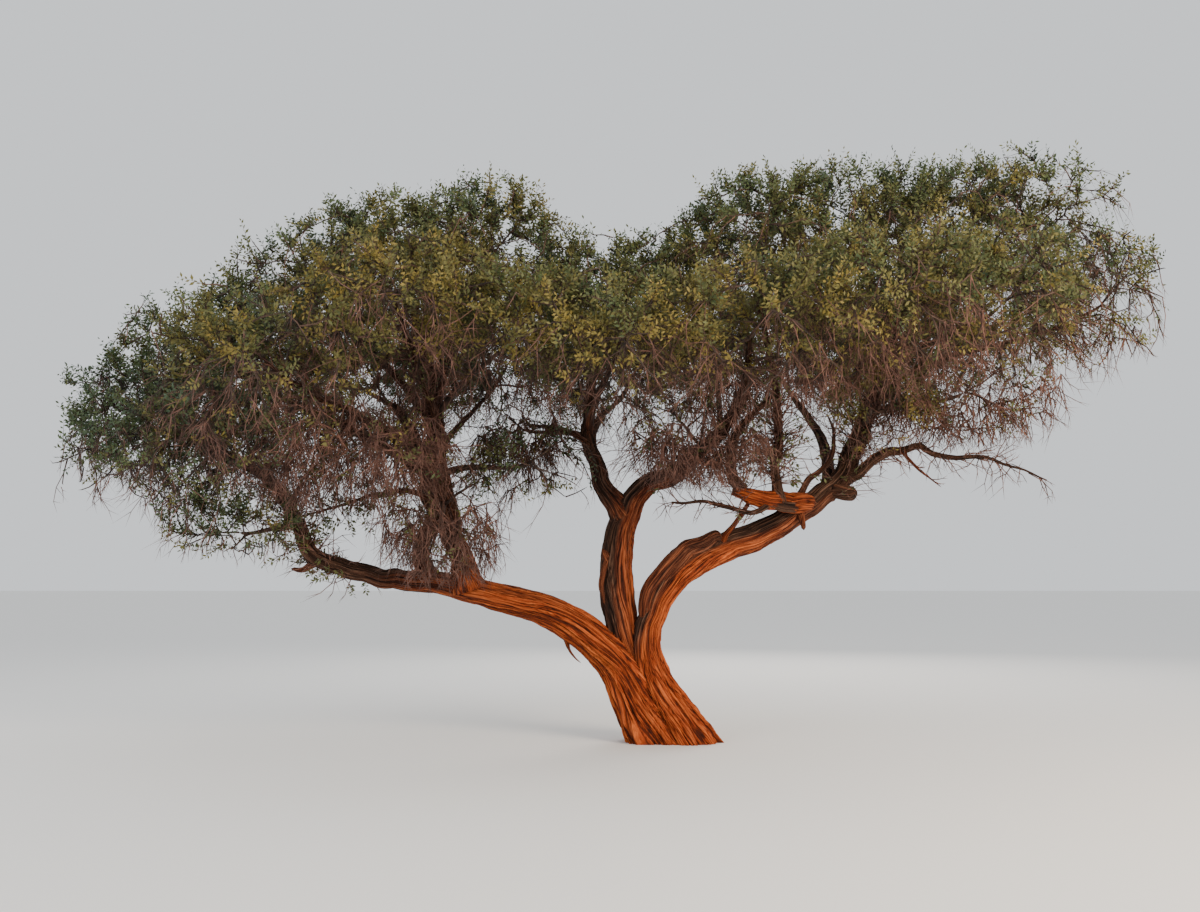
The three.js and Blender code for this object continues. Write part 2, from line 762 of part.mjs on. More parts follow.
// Sprays of a mass, spread evenly over its outside. Each stands on a twig about a spray's length inward.
function growSprays(mass, twigs, random) {
  const roots = twigs.flatMap((twig) => SPRAY.roots.map((place) => ({ at: twig.point(place), uses: 0 })));
  const count = countFor(mass, KINDS[mass.kind].sprays);
  const blades = [];
  for (let k = 0; k < count; k++) {
    const target = outward(mass, evenDirection(k, count), 1);
    const cost = (root) => Math.abs(root.at.distanceTo(target) - SPRAY.wanted) + SPRAY.crowding * root.uses;
    const nearest = roots.slice().sort((a, b) => cost(a) - cost(b)).slice(0, SPRAY.tries);
    for (const root of nearest) {
      const blade = sprayBlade(root.at, target, random);
      if (bladeFits(mass, blade, blades)) {
        blades.push(blade);
        root.uses += 1;
        break;
      }
    }
  }
  return blades;
}

// A mass's stem, cut clear of the limbs near it.
function stemSolid(mass) {
  const start = startPlace(mass.line, mass.stemFrom);
  const rings = stepsIn(mass.line, start, mass.line.last, LIMB.stemRingStep);
  const tube = new THREE.CylinderGeometry(1, 1, 1, LIMB.stemSides, rings);
  const stem = bent(tube, mass.line, evenPlaces(start, mass.line.last, rings));
  const reach = stem.boundingBox();
  const near = Object.values(grown).filter((limb) => {
    const box = limb.boundingBox();
    return [0, 1, 2].every((i) => box.min[i] < reach.max[i] && box.max[i] > reach.min[i]);
  });
  return largest(stem.subtract(wasm.Manifold.union(near)));
}

// A twig as a thin cone along its line.
function twigSolid(twig) {
  return bent(new THREE.ConeGeometry(1, 1, TWIG.sides, TWIG.rings), twig, evenPlaces(0, 1, TWIG.rings));
}

// One mass as one solid: its stem, its twigs and its sprays.
function massSolid(mass) {
  const random = seededRandom(SEED + SEED_STRIDE * mass.index);
  const twigs = growTwigs(mass, random);
  const blades = growSprays(mass, twigs, random);
  const growth = wasm.Manifold.union([...twigs.map(twigSolid), ...blades.map(bladeSolid)]);
  return largest(stemSolid(mass).add(growth.simplify(SMOOTHING.twigs)).simplify(SMOOTHING.mass));
}

for (const mass of masses) {
  solids[mass.name] = massSolid(mass);
}

function geometryOf(solid) {
  const { vertProperties, triVerts } = solid.getMesh();
  const geometry = new THREE.BufferGeometry();
  geometry.setAttribute("position", new THREE.BufferAttribute(vertProperties, 3));
  geometry.setIndex(new THREE.BufferAttribute(triVerts, 1));
  return geometry;
}

// A solid as a named mesh. Corners that lie nearly together become one, and what that parts off is dropped.
function meshOf(name, solid, finish) {
  const geometry = geometryOf(largest(solidOf(geometryOf(solid).toNonIndexed(), CORNER_SIZE)));
  geometry.computeVertexNormals();
  const mesh = new THREE.Mesh(geometry, new THREE.MeshStandardMaterial(finish));
  mesh.name = name;
  return mesh;
}

const tree = new THREE.Group();
tree.name = "acacia_tree";
const limbs = new THREE.Group();
for (const name of ["trunk", ...Object.keys(stretches)]) {
  limbs.add(meshOf(name, solids[name], BARK_FINISH));
}
const crown = new THREE.Group();
for (const mass of masses) {
  crown.add(meshOf(mass.name, solids[mass.name], mass.kind === "bare" ? BARE_FINISH : LEAF_FINISH));
}
tree.add(limbs, crown);

export default tree;
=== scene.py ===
"""An old acacia of dry country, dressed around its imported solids.

The lines, the masses and the rule of growth are the same as in the part's source, in metres. Bark with its
relief replaces the trunk and the boughs. Each mass grows on from its limb by the same twigs, which here carry
finer twigs, shoots and leaves. The frame: +Z is up, +X is to the right from the front, +Y is to the back.
"""
import itertools
import json
import math
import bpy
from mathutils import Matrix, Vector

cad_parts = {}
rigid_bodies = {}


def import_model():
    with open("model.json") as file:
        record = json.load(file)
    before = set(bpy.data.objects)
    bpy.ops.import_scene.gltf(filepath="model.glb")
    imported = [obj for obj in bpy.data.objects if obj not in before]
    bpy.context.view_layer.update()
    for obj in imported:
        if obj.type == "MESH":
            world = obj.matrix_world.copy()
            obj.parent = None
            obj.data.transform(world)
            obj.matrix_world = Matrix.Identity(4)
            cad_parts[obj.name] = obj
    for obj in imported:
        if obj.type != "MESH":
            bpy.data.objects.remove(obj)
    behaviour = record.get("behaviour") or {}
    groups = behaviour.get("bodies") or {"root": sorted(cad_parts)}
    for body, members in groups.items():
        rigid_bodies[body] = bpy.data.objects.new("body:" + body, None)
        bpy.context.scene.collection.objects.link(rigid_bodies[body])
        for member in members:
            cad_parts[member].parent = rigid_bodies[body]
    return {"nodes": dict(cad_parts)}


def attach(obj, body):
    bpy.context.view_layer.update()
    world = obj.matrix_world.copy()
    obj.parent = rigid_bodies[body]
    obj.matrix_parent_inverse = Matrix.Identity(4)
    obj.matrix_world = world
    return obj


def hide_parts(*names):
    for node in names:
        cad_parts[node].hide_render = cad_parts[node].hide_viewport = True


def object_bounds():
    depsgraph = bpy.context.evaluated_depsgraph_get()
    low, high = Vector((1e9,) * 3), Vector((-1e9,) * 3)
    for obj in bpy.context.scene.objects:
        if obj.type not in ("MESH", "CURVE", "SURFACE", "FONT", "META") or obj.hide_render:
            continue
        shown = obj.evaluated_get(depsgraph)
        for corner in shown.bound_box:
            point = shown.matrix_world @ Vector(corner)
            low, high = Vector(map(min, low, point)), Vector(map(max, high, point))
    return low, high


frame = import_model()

from types import SimpleNamespace as Named

import bpy
import numpy as np
from mathutils import Vector
from mathutils.kdtree import KDTree

for name in ("Cube", "Light", "Camera"):
    if name in bpy.data.objects:
        bpy.data.objects.remove(bpy.data.objects[name])
CAD_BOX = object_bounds()

# The three main lines, from under the ground through the trunk to their tips: x, y, z and radius.
MAIN_LINES = {
    "left_line": [
        (-0.02, 0, -0.2, 0.36), (-0.33, -0.02, 0.42, 0.26), (-0.55, -0.03, 0.82, 0.205),
        (-0.92, -0.05, 1.15, 0.18), (-1.3, -0.1, 1.33, 0.155), (-1.75, -0.15, 1.45, 0.145),
        (-2.4, -0.2, 1.6, 0.11), (-3.0, -0.35, 1.66, 0.09), (-3.5, -0.45, 1.85, 0.08),
        (-3.68, -0.5, 2.2, 0.07), (-3.95, -0.55, 2.6, 0.06), (-4.6, -0.4, 2.95, 0.045),
        (-5.1, -0.3, 3.15, 0.02),
    ],
    "centre_line": [
        (0.12, 0.14, -0.2, 0.33), (-0.25, 0.1, 0.45, 0.24), (-0.4, 0.07, 0.95, 0.16),
        (-0.49, 0.06, 1.5, 0.175), (-0.49, 0.1, 1.95, 0.17), (-0.41, 0.1, 2.3, 0.145),
        (-0.2, 0.02, 2.58, 0.115), (0.1, -0.15, 2.75, 0.1), (0.45, -0.4, 3.0, 0.08),
        (0.7, -0.95, 3.4, 0.06), (0.68, -1.6, 3.8, 0.02),
    ],
    "right_line": [
        (0.3, -0.03, -0.2, 0.33), (-0.06, 0, 0.42, 0.25), (-0.2, 0, 0.85, 0.165),
        (-0.15, 0, 1.25, 0.135), (0.06, 0, 1.62, 0.16), (0.42, 0.05, 1.88, 0.155),
        (0.9, 0.1, 2.08, 0.14), (1.42, 0.15, 2.33, 0.13), (1.85, 0.2, 2.65, 0.115),
        (2.02, 0.22, 3.05, 0.1), (2.2, 0.22, 3.45, 0.09), (2.45, 0.25, 4.3, 0.06),
        (2.1, 0.3, 5.1, 0.02),
    ],
}

# Limbs that leave another line at a waypoint number of it, with the radius of their foot.
SIDE_LIMBS = {
    "left_rise_front": ("left_line", 5.4, 0.12, [
        (-2.15, -0.2, 2.05, 0.11), (-2.33, -0.3, 2.7, 0.095), (-2.35, -0.3, 3.2, 0.085),
        (-2.5, -0.2, 4.0, 0.06), (-2.75, 0, 4.85, 0.02)]),
    "left_rise_back": ("left_line", 6.0, 0.09, [
        (-2.54, 0.1, 1.9, 0.085), (-2.45, 0.25, 2.3, 0.08), (-2.65, 0.75, 3.0, 0.068),
        (-3.0, 1.35, 3.55, 0.05), (-3.5, 2.0, 3.9, 0.02)]),
    "centre_left_prong": ("centre_line", 4.9, 0.1, [
        (-0.68, 0.12, 2.72, 0.088), (-0.8, 0.15, 3.1, 0.075), (-0.75, 0.3, 3.75, 0.055),
        (-0.65, 0.45, 4.5, 0.02)]),
    "return_branch": ("right_line", 7.3, 0.078, [
        (1.1, -0.25, 2.41, 0.07), (0.78, -0.4, 2.48, 0.065), (0.62, -0.55, 2.7, 0.055),
        (0.66, -0.75, 3.05, 0.04), (1.0, -0.9, 3.4, 0.018)]),
    "return_riser": ("return_branch", 0.9, 0.052, [
        (1.1, -0.3, 2.75, 0.05), (1.13, -0.3, 3.1, 0.045), (1.1, -0.1, 3.9, 0.038),
        (0.95, 0.15, 4.9, 0.018)]),
    "dead_branch": ("return_branch", 1.05, 0.032, [
        (0.84, -0.47, 2.29, 0.028), (0.47, -0.52, 2.37, 0.022), (0.02, -0.7, 2.37, 0.01)]),
    "bare_branch": ("right_line", 8.0, 0.065, [
        (2.25, 0.05, 2.87, 0.052), (2.6, 0, 3.0, 0.036), (3.0, 0, 2.88, 0.027),
        (3.38, 0, 2.87, 0.019), (3.95, 0, 2.65, 0.008)]),
}

# Small wood that only this dressed tree has: stubs, a shoulder ridge, a prop and thin bare limbs. Each has
# the warmth of its bark and its waypoints.
SMALL_WOOD = {
    "shoulder_ridge": (0.45, [
        (-0.15, 0.03, 1.05, 0.05), (-0.18, -0.02, 1.3, 0.09), (-0.09, -0.06, 1.57, 0.105),
        (0.08, -0.07, 1.79, 0.105), (0.27, -0.06, 1.95, 0.092), (0.44, -0.05, 2.04, 0.08),
        (0.58, -0.03, 2.07, 0.065)]),
    "prop_branch": (0.7, [
        (0.55, 0, 1.93, 0.05), (0.61, -0.04, 2.06, 0.034), (0.69, -0.14, 2.18, 0.028),
        (0.79, -0.33, 2.36, 0.022), (0.82, -0.42, 2.45, 0.02)]),
    "return_boss": (1.1, [
        (0.66, -0.44, 2.5, 0.05), (0.82, -0.38, 2.465, 0.08), (0.98, -0.3, 2.44, 0.095),
        (1.16, -0.19, 2.425, 0.1), (1.34, -0.07, 2.42, 0.105), (1.52, 0.02, 2.4, 0.085)]),
    "knob": (0.05, [(1.78, 0.16, 2.56, 0.09), (1.91, 0.1, 2.53, 0.085), (2.0, 0.06, 2.52, 0.07)]),
    "hanging_stub": (0.4, [
        (1.38, 0.08, 2.36, 0.05), (1.41, -0.05, 2.21, 0.032), (1.42, -0.08, 2.12, 0.02)]),
    "small_limb": (0.1, [
        (1.36, 0.12, 2.4, 0.05), (1.45, 0.04, 2.58, 0.036), (1.56, -0.03, 2.72, 0.03),
        (1.68, -0.1, 2.87, 0.026), (1.72, -0.2, 3.1, 0.018), (1.64, -0.3, 3.3, 0.008)]),
    "centre_stub": (0.35, [
        (-0.5, 0.04, 1.78, 0.07), (-0.62, -0.03, 1.85, 0.045), (-0.67, -0.05, 1.93, 0.02)]),
    "bark_strip": (0.35, [
        (-0.6, -0.02, 1.84, 0.03), (-0.645, -0.07, 1.7, 0.032), (-0.66, -0.08, 1.52, 0.03),
        (-0.64, -0.07, 1.37, 0.012)]),
    "low_stub": (0.3, [
        (-3.5, -0.43, 1.8, 0.05), (-3.64, -0.44, 1.71, 0.03), (-3.74, -0.45, 1.72, 0.015)]),
    "fork_spur": (0.9, [(-0.5, 0, 0.86, 0.06), (-0.6, -0.03, 0.99, 0.035), (-0.65, -0.04, 1.05, 0.015)]),
    "under_twig": (0.7, [
        (-1.02, -0.06, 1.02, 0.03), (-0.99, -0.08, 0.92, 0.014), (-0.93, -0.09, 0.84, 0.009),
        (-0.87, -0.1, 0.79, 0.004)]),
    "centre_side_limb": (0.1, [
        (-0.76, 0.14, 3.0, 0.04), (-0.88, 0.08, 3.1, 0.03), (-1.07, 0.02, 3.16, 0.027),
        (-1.25, -0.04, 3.2, 0.022), (-1.42, -0.1, 3.22, 0.012)]),
    "bare_side_twig": (0.45, [
        (2.46, 0.01, 2.95, 0.022), (2.56, -0.02, 2.83, 0.018), (2.69, -0.05, 2.71, 0.012),
        (2.84, -0.08, 2.57, 0.005)]),
    "arching_limb": (0.15, [
        (-2.32, -0.29, 2.42, 0.035), (-2.6, -0.34, 2.5, 0.026), (-2.9, -0.4, 2.47, 0.02),
        (-3.2, -0.46, 2.38, 0.015), (-3.56, -0.5, 2.26, 0.008)]),
}

# The warmth of a line's bark where it isn't the common one, the common one of side limbs, and the length over
# which a side limb and the trunk change to it from the warmth at their foot. Warmth, how orange the bark is,
# is partly the bark's own colour and partly painted sunlight and shade.
WARMTH = {"return_branch": 3.2, "dead_branch": 1.4, "bare_branch": 1.2, "return_riser": 0.6,
          "centre_line": 0.62, "centre_left_prong": 0.15}
SIDE_WARMTH = 0.4
WARMTH_RUN = 0.45
TRUNK_WARMTH_RUN = 1.5

# The side on which the bark is painted in shade, darker and less orange, above the fork, as the side turned
# away from the light, and by how much on each line.
SHADE_SIDE = (-0.72, 0, 0.69)
PAINTED_SHADE = {"right_line": 1.3, "centre_line": 1.0, "left_line": 0.4, "centre_left_prong": 0.6}

# Each mass: its centre, its half size, the line that it leaves and where, how it stands there, and how golden
# its leaves are, from 0 to 1, which is partly painted warm light, higher on the front masses. It stands on
# the line's end, on a stem, or on the bough with that short name.
MASSES = {
    "left_tip_foliage": ((-5.4, -0.3, 3.1), (1.12, 1.2, 0.68), "left_line", 10, "end", 0.1),
    "left_low_foliage": ((-4.35, -1.2, 2.8), (0.95, 0.85, 0.55), "left_line", 10.2, "stem", 0.25),
    "low_leafy_branch": ((-4.2, -0.65, 2.08), (0.75, 0.5, 0.3), "left_line", 8.8, "stem", 0.35),
    "left_shoulder_foliage": ((-4.75, 0.1, 4), (1, 1.25, 0.62), "left_rise_front", 1.7, "west", 0.2),
    "left_brow_foliage": ((-3.75, 0.2, 4.75), (0.95, 1.25, 0.66), "left_rise_front", 2.8, "brow", 0.38),
    "left_front_foliage": ((-3.7, -1.75, 3.6), (1, 1.15, 0.68), "left_rise_front", 2, "front", 0.5),
    "left_top_foliage": ((-2.75, 0.1, 5), (0.9, 1.25, 0.68), "left_rise_front", 3, "end", 0.35),
    "left_gold_foliage": ((-2.55, -1.65, 4.2), (0.85, 1.1, 0.6), "left_rise_front", 2.9, "gold", 0.72),
    "left_crest_foliage": ((-1.8, 0.1, 5.1), (0.75, 1.2, 0.8), "left_rise_front", 3.2, "east", 0.42),
    "left_inner_foliage": ((-1.45, -1.35, 3.95), (0.75, 1.1, 0.66), "left_rise_front", 3, "stem", 0.6),
    "left_back_foliage": ((-3.5, 2.3, 4), (1.2, 1.25, 0.8), "left_rise_back", 3, "end", 0.25),
    "left_rear_foliage": ((-1.85, 2.4, 4.3), (1.1, 1.25, 0.8), "left_rise_back", 2.6, "rear", 0.25),
    "left_hanging_twigs": ((-2.95, -1.15, 3.05), (0.85, 0.7, 0.62), "left_rise_front", 2.3, "stem", 0.4),
    "left_low_twigs": ((-2.2, -0.75, 2.25), (0.6, 0.4, 0.6), "left_rise_front", 1.5, "stem", 0.4),
    "left_wisp_foliage": ((-1.4, -0.3, 2.8), (0.75, 0.55, 0.42), "left_rise_front", 1.9, "stem", 0.2),
    "centre_top_foliage": ((-0.65, 0.5, 4.65), (0.72, 1.2, 0.75), "centre_left_prong", 2, "end", 0.35),
    "centre_front_foliage": ((-0.5, -1.75, 3.75), (0.8, 1.15, 0.64), "centre_left_prong", 2.1, "front", 0.62),
    "centre_back_foliage": ((-0.3, 2.4, 4.1), (1.1, 1.15, 0.8), "centre_left_prong", 1.6, "back", 0.25),
    "centre_dead_twigs": ((-1.5, 0.1, 3.2), (0.5, 0.45, 0.3), "centre_left_prong", 2, "stem", 0.4),
    "centre_right_foliage": ((0.3, 0.3, 4.6), (0.72, 1.1, 0.76), "centre_line", 8.2, "stem", 0.4),
    "centre_gold_foliage": ((0.65, -1.95, 3.85), (0.85, 1.1, 0.68), "centre_line", 9, "end", 0.65),
    "centre_hanging_twigs": ((0.3, -0.85, 3), (0.7, 0.55, 0.45), "centre_line", 7.6, "stem", 0.4),
    "right_crest_foliage": ((0.95, 0.2, 5.25), (0.76, 1.15, 0.78), "return_riser", 3, "end", 0.4),
    "right_top_foliage": ((2, 0.3, 5.38), (0.82, 1.25, 0.74), "right_line", 11, "end", 0.43),
    "right_high_foliage": ((3.1, 0.3, 5.36), (0.82, 1.25, 0.74), "right_line", 10.8, "high", 0.42),
    "right_brow_foliage": ((4.05, 0.2, 5.4), (0.84, 1.05, 0.82), "right_line", 10.5, "brow", 0.35),
    "right_tip_foliage": ((4.6, 0, 4.5), (0.92, 1.05, 0.68), "right_line", 10.2, "east", 0.3),
    "right_front_foliage": ((1.9, -1.85, 4.1), (0.9, 1.15, 0.75), "right_line", 10, "front", 0.5),
    "right_fore_foliage": ((3.1, -1.35, 4.2), (0.85, 1.15, 0.7), "right_line", 10.4, "stem", 0.45),
    "right_inner_foliage": ((2.05, -0.45, 3.35), (0.45, 0.5, 0.5), "right_line", 9.5, "stem", 0.75),
    "right_hanging_twigs": ((3.1, -0.1, 3.55), (0.95, 0.8, 0.5), "right_line", 9.8, "stem", 0.4),
    "right_back_foliage": ((1.5, 2.4, 4.4), (1.1, 1.25, 0.8), "right_line", 7.6, "back", 0.3),
    "right_rear_foliage": ((3.1, 2.1, 4.4), (1.15, 1.15, 0.8), "right_line", 10.1, "stem", 0.3),
}

# The leafy masses with many bare twigs, how full the thin masses are, and how many times the usual strands
# hang from a mass.
MIXED = ("left_low_foliage", "low_leafy_branch", "left_wisp_foliage", "right_tip_foliage")
FULL = {"left_low_foliage": 0.8, "low_leafy_branch": 0.8, "left_wisp_foliage": 0.45,
        "right_brow_foliage": 0.7, "right_tip_foliage": 0.6, "right_fore_foliage": 0.9,
        "right_inner_foliage": 0.8}
FRINGE = {"left_front_foliage": 1.8, "left_gold_foliage": 1.8, "centre_gold_foliage": 2.2,
          "right_front_foliage": 2.6, "right_hanging_twigs": 0.5}

# The source's rule of growth.
SEED = 41
SEED_STRIDE = 97
GOLDEN_ANGLE = math.pi * (3 - math.sqrt(5))
LIMB = Named(foot_share=0.62, stem_share=0.7, stem_tip=0.014)
REACH = Named(along=0.45, across=0.75, rise=0.35, start_pull=0.36, end_pull=0.3)
SPACE = Named(ragged=1.1, between=0.035, off_limbs=0.012, least=0.3, inward=0.05)
TWIG = Named(radius=0.019, tip_share=0.35, shortest=0.2, stem_knots=7, stem_knot_path=0.1,
             knots=(0.35, 0.6, 0.85), knot_taper=0.7, checks=(0.35, 0.5, 0.65, 0.8, 0.9, 1),
             share_of_knot=0.8, path_cost=0.35, onward=0.6, start_pull=0.35, tip_reach=(0.6, 0.85),
             bare_reach=0.95)
KINDS = {
    "leafy": Named(twigs=6, lift=0.2),
    "mixed": Named(twigs=13, lift=-0.05),
    "bare": Named(twigs=40, lift=-0.35),
}
HANGING = Named(arm_share=0.35, arm=(0.35, 0.65), down=(-0.45, -0.95), wide=(0.35, 1))
FIRST_ENTRY = 0.2
NO_ENTRY = 0.4

# What grows stays clear of limbs, which are tested in short lengths of this step where they come this near to
# a mass's space. The trunk ends at these places of its lines.
CLEAR_STEP = 0.15
NEAR = 0.2
TRUNK_PLACES = {"left_line": 2.75, "centre_line": 2.4, "right_line": 2.6}

# Growth finer than the source's, per square metre of a mass's mean side: twigs on twigs, leafy or bare
# shoots, and strands, which are long bare twigs that hang from below a height in the mass. Then come the lift
# of its twigs and the share of its shoots that are bare, high up and low down.
FINE = {
    "leafy": Named(twigs=180, shoots=1980, strands=150, strands_top=0.3, lift=0.25, hang=0.04, low_hang=0.9),
    "mixed": Named(twigs=240, shoots=1500, strands=200, strands_top=0.9, lift=0.0, hang=0.25, low_hang=0.6),
    "bare": Named(twigs=300, shoots=700, strands=1700, strands_top=0.9, lift=-0.3, hang=0.8, low_hang=0.8),
}

# Where on a twig what it carries may start, and the sizes of fine twigs, shoots, leading shoots, strands and
# leaflets: lengths, radii and gaps in metres, and the rest as shares.
CARRIED_FROM = 0.3
FINE_TWIG = Named(radii=(0.009, 0.004), span=(0.08, 1.0), aim=(0.3, 1.2), tries=6, gap=0.72, off_limbs=0.01,
                  lift=0.15, bend=0.08, carriers=(0.25, 0.45, 0.65, 0.85, 1.0), first_path=0.3,
                  knots=(0.4, 0.75), waver=0.02)
SHOOT = Named(leafy=(0.14, 0.31), bare=(0.1, 0.42), radius=0.0036, tries=2.2, off_limbs=0.015,
              low=(0.1, -0.6), patch=0.33, by_full=0.55, by_height=0.35, thinning=(-0.25, 0.55),
              onward=0.55, outward=0.45, stray=0.65, leafy_up=0.3, bare_up=-0.75, bare_bend=0.2,
              bare_sag=-0.12)
LEADER = Named(share=0.12, above=0.2, length=1.35, past_edge=0.1)
STRAND = Named(length=(0.2, 0.65), radius=0.0052, later_radii=(0.85, 0.6), crook=0.5, droop=0.25, down=0.7,
               side_share=(0.25, 0.55), side_stray=0.9, tries=8, bottom=-0.9)
LEAFLET = Named(count=10, length=(0.042, 0.07), taper=(1.1, 0.75), width=0.42, first=0.12, belly=0.48,
                fold=0.06, forward=0.55, last_side=0.15, spin=0.55, stray=0.22, tilt=0.45)
BRANCH_WAVER = 0.03

# The masses flow together into one crown: how softly, where its leaves end, and how far its strands hang.
CROWN = Named(power=2.5, blend=8, edge=0.97, ragged=0.11, rag=0.35, hanging=1.35)

# How far past the solids' box a shoot's tip may reach, and how much the crown narrows to its front and back.
PAST_BOX = 0.05
NARROWING = 0.45

# Crooked twigs straight on the limbs: where they start and end as shares of the limb's waypoints, how many,
# the longest, and the share of their side twigs in leaf.
SPARE_TWIGS = {
    "bare_branch": (0.15, 1, 80, 0.46, 0),
    "dead_branch": (0.2, 1, 40, 0.34, 0),
    "centre_side_limb": (0.3, 1, 26, 0.34, 0),
    "bare_side_twig": (0.2, 1, 8, 0.2, 0),
    "small_limb": (0.3, 1, 16, 0.3, 0),
    "arching_limb": (0.25, 1, 60, 0.42, 0.55),
    "return_branch": (0.35, 0.95, 80, 0.5, 0.05),
    "return_riser": (0.12, 0.8, 300, 0.65, 0.1),
    "right_line": (0.64, 0.9, 240, 0.6, 0.1),
    "centre_line": (0.6, 0.95, 260, 0.6, 0.08),
    "centre_left_prong": (0.35, 0.9, 60, 0.4, 0.1),
    "left_line": (0.6, 0.95, 240, 0.55, 0.25),
    "left_rise_front": (0.3, 0.85, 230, 0.55, 0.12),
    "left_rise_back": (0.3, 0.85, 120, 0.55, 0.12),
    "left_front_bough": (0.1, 0.9, 200, 0.65, 0.08),
    "left_gold_bough": (0.1, 0.8, 110, 0.6, 0.08),
    "left_west_bough": (0.1, 0.9, 200, 0.65, 0.08),
    "right_front_bough": (0.1, 0.8, 130, 0.6, 0.08),
    "right_east_bough": (0.1, 0.9, 130, 0.6, 0.1),
}
SPARE = Named(radius=0.0065, droop=0.05, shortest=0.35)

# Leaf tints from blue-green to gold, as plain base colours dealt out by spray. A spray's tint goes by how
# golden it is, which its mass, patches, its place and chance decide; its mass and its place are partly
# painted light, warm on the front and lower sprays and cooler on the high ones.
TINTS = {
    "sage": (0.057, 0.085, 0.043),
    "green": (0.065, 0.09, 0.034),
    "moss": (0.088, 0.098, 0.032),
    "olive": (0.122, 0.112, 0.031),
    "gold": (0.19, 0.148, 0.034),
}
TINT_STEPS = (0.18, 0.32, 0.455, 0.63)
SPARE_TINT = 2
# The front and height shares are painted light: sprays toward the front and low in a mass are made more
# golden, higher ones bluer-green.
GOLDEN = Named(least=0.2, mass=0.55, patch=0.36, patch_size=0.45, front=0.08, height=0.12, chance=0.07)

# What keeps the random draws and the noise of different things apart.
SEEDS = Named(edge=77, tint=900, fine_twigs=50, branches=60, mass=1000, limb=100, bough=300, small_wood=600)


def unit(v):
    """Vectors at length one."""
    return v / np.maximum(np.linalg.norm(v, axis=-1, keepdims=True), 1e-9)


def smooth_step(low, high, value):
    t = np.clip((value - low) / (high - low), 0, 1)
    return t * t * (3 - 2 * t)


def lerp(a, b, share):
    return a + (b - a) * share


def xyz(*values):
    """Three arrays or numbers as points."""
    return np.stack(np.broadcast_arrays(*values), axis=-1)


def seeded_random(seed):
    """The source's stream of numbers from 0 to 1."""
    whole = 0xFFFFFFFF
    state = seed & whole

    def draw():
        nonlocal state
        state = (state + 0x6D2B79F5) & whole
        mixed = ((state ^ (state >> 15)) * (state | 1)) & whole
        mixed ^= (mixed + (((mixed ^ (mixed >> 7)) * (mixed | 61)) & whole)) & whole
        return ((mixed ^ (mixed >> 14)) & whole) / 4294967296

    return draw


def noise(points, seed=0):
    """Smooth gradient noise, from about -1 to 1, at points of any number."""
    cell = np.floor(points).astype(np.int64)
    share = points - cell
    ease = share ** 3 * (share * (share * 6 - 15) + 10)
    total = np.zeros(len(points))
    for corner in itertools.product((0, 1), repeat=3):
        at = cell + corner
        key = (at[:, 0] * 73856093) ^ (at[:, 1] * 19349663) ^ (at[:, 2] * 83492791) ^ (seed * 2654435761)
        key = (key ^ (key >> 13)) * 1274126177 & 0xFFFFFFFF
        key = (key ^ (key >> 16)) * 668265263 & 0xFFFFFFFF
        slope = np.stack([key & 255, key >> 8 & 255, key >> 16 & 255], axis=1) / 127.5 - 1
        weight = np.where(np.array(corner) == 1, ease, 1 - ease).prod(axis=1)
        total += weight * (slope * (share - corner)).sum(axis=1)
    return total * 1.4


class Line:
    """A tapering line through waypoints. Places on it are waypoint numbers, with parts between them."""

    def __init__(self, waypoints):
        table = np.array(waypoints, float)
        self.knots, self.radii = table[:, :3], table[:, 3]
        self.last = len(table) - 1
        ends = [2 * self.knots[0] - self.knots[1]], [2 * self.knots[-1] - self.knots[-2]]
        self.padded = np.concatenate([ends[0], self.knots, ends[1]])

    def point(self, place):
        place = np.asarray(place, float)
        whole = np.minimum(np.floor(place).astype(int), self.last - 1)
        t = (place - whole)[..., None]
        a, b, c, d = (self.padded[whole + i] for i in range(4))
        start, end = (c - a) / 2, (d - b) / 2
        return b + start * t + (3 * (c - b) - 2 * start - end) * t ** 2 + (2 * (b - c) + start + end) * t ** 3

    def tangent(self, place):
        share = np.clip(np.asarray(place, float) / self.last, 0.001, 0.999)
        near = 0.0001
        return unit(self.point((share + near) * self.last) - self.point((share - near) * self.last))

    def radius(self, place):
        return np.interp(place, np.arange(self.last + 1), self.radii)


def cubic(corners, t):
    """Points on cubic curves and the directions there."""
    a, b, c, d = corners
    points = a * (1 - t) ** 3 + 3 * b * t * (1 - t) ** 2 + 3 * c * t ** 2 * (1 - t) + d * t ** 3
    return points, unit((b - a) * (1 - t) ** 2 + 2 * (c - b) * t * (1 - t) + (d - c) * t ** 2)


class Bezier:
    """A cubic curve from place 0 to place 1 that tapers evenly."""

    last = 1

    def __init__(self, corners, foot, tip):
        self.corners = np.array(corners)
        self.foot, self.tip = foot, tip

    def point(self, place):
        return cubic(self.corners, np.asarray(place, float)[..., None])[0]

    def tangent(self, place):
        return cubic(self.corners, np.asarray(place, float)[..., None])[1]

    def radius(self, place):
        return lerp(self.foot, self.tip, np.asarray(place, float))


def reach_line(carrier, place, target, foot):
    """The line of a bough or a stem from a place on its carrier to a mass's centre."""
    start = carrier.point(place)
    span = np.linalg.norm(target - start)
    across = (target - start) / span
    leave = unit(carrier.tangent(place) * REACH.along + across * REACH.across)
    arrive = unit(across + (0, 0, REACH.rise))
    pull = REACH.start_pull * span, REACH.end_pull * span
    corners = [start, start + leave * pull[0], target - arrive * pull[1], target]
    return Bezier(corners, foot, LIMB.stem_tip)


def stretch_length(line, start, end):
    steps = line.point(np.linspace(start, end, 17))
    return np.linalg.norm(np.diff(steps, axis=0), axis=1).sum()


# The lines and the masses of the source.
lines = {name: Line(points) for name, points in MAIN_LINES.items()}
for name, (carrier, place, foot, points) in SIDE_LIMBS.items():
    lines[name] = Line([(*lines[carrier].point(place), foot), *points])
for name, (warm, points) in SMALL_WOOD.items():
    lines[name] = Line(points)

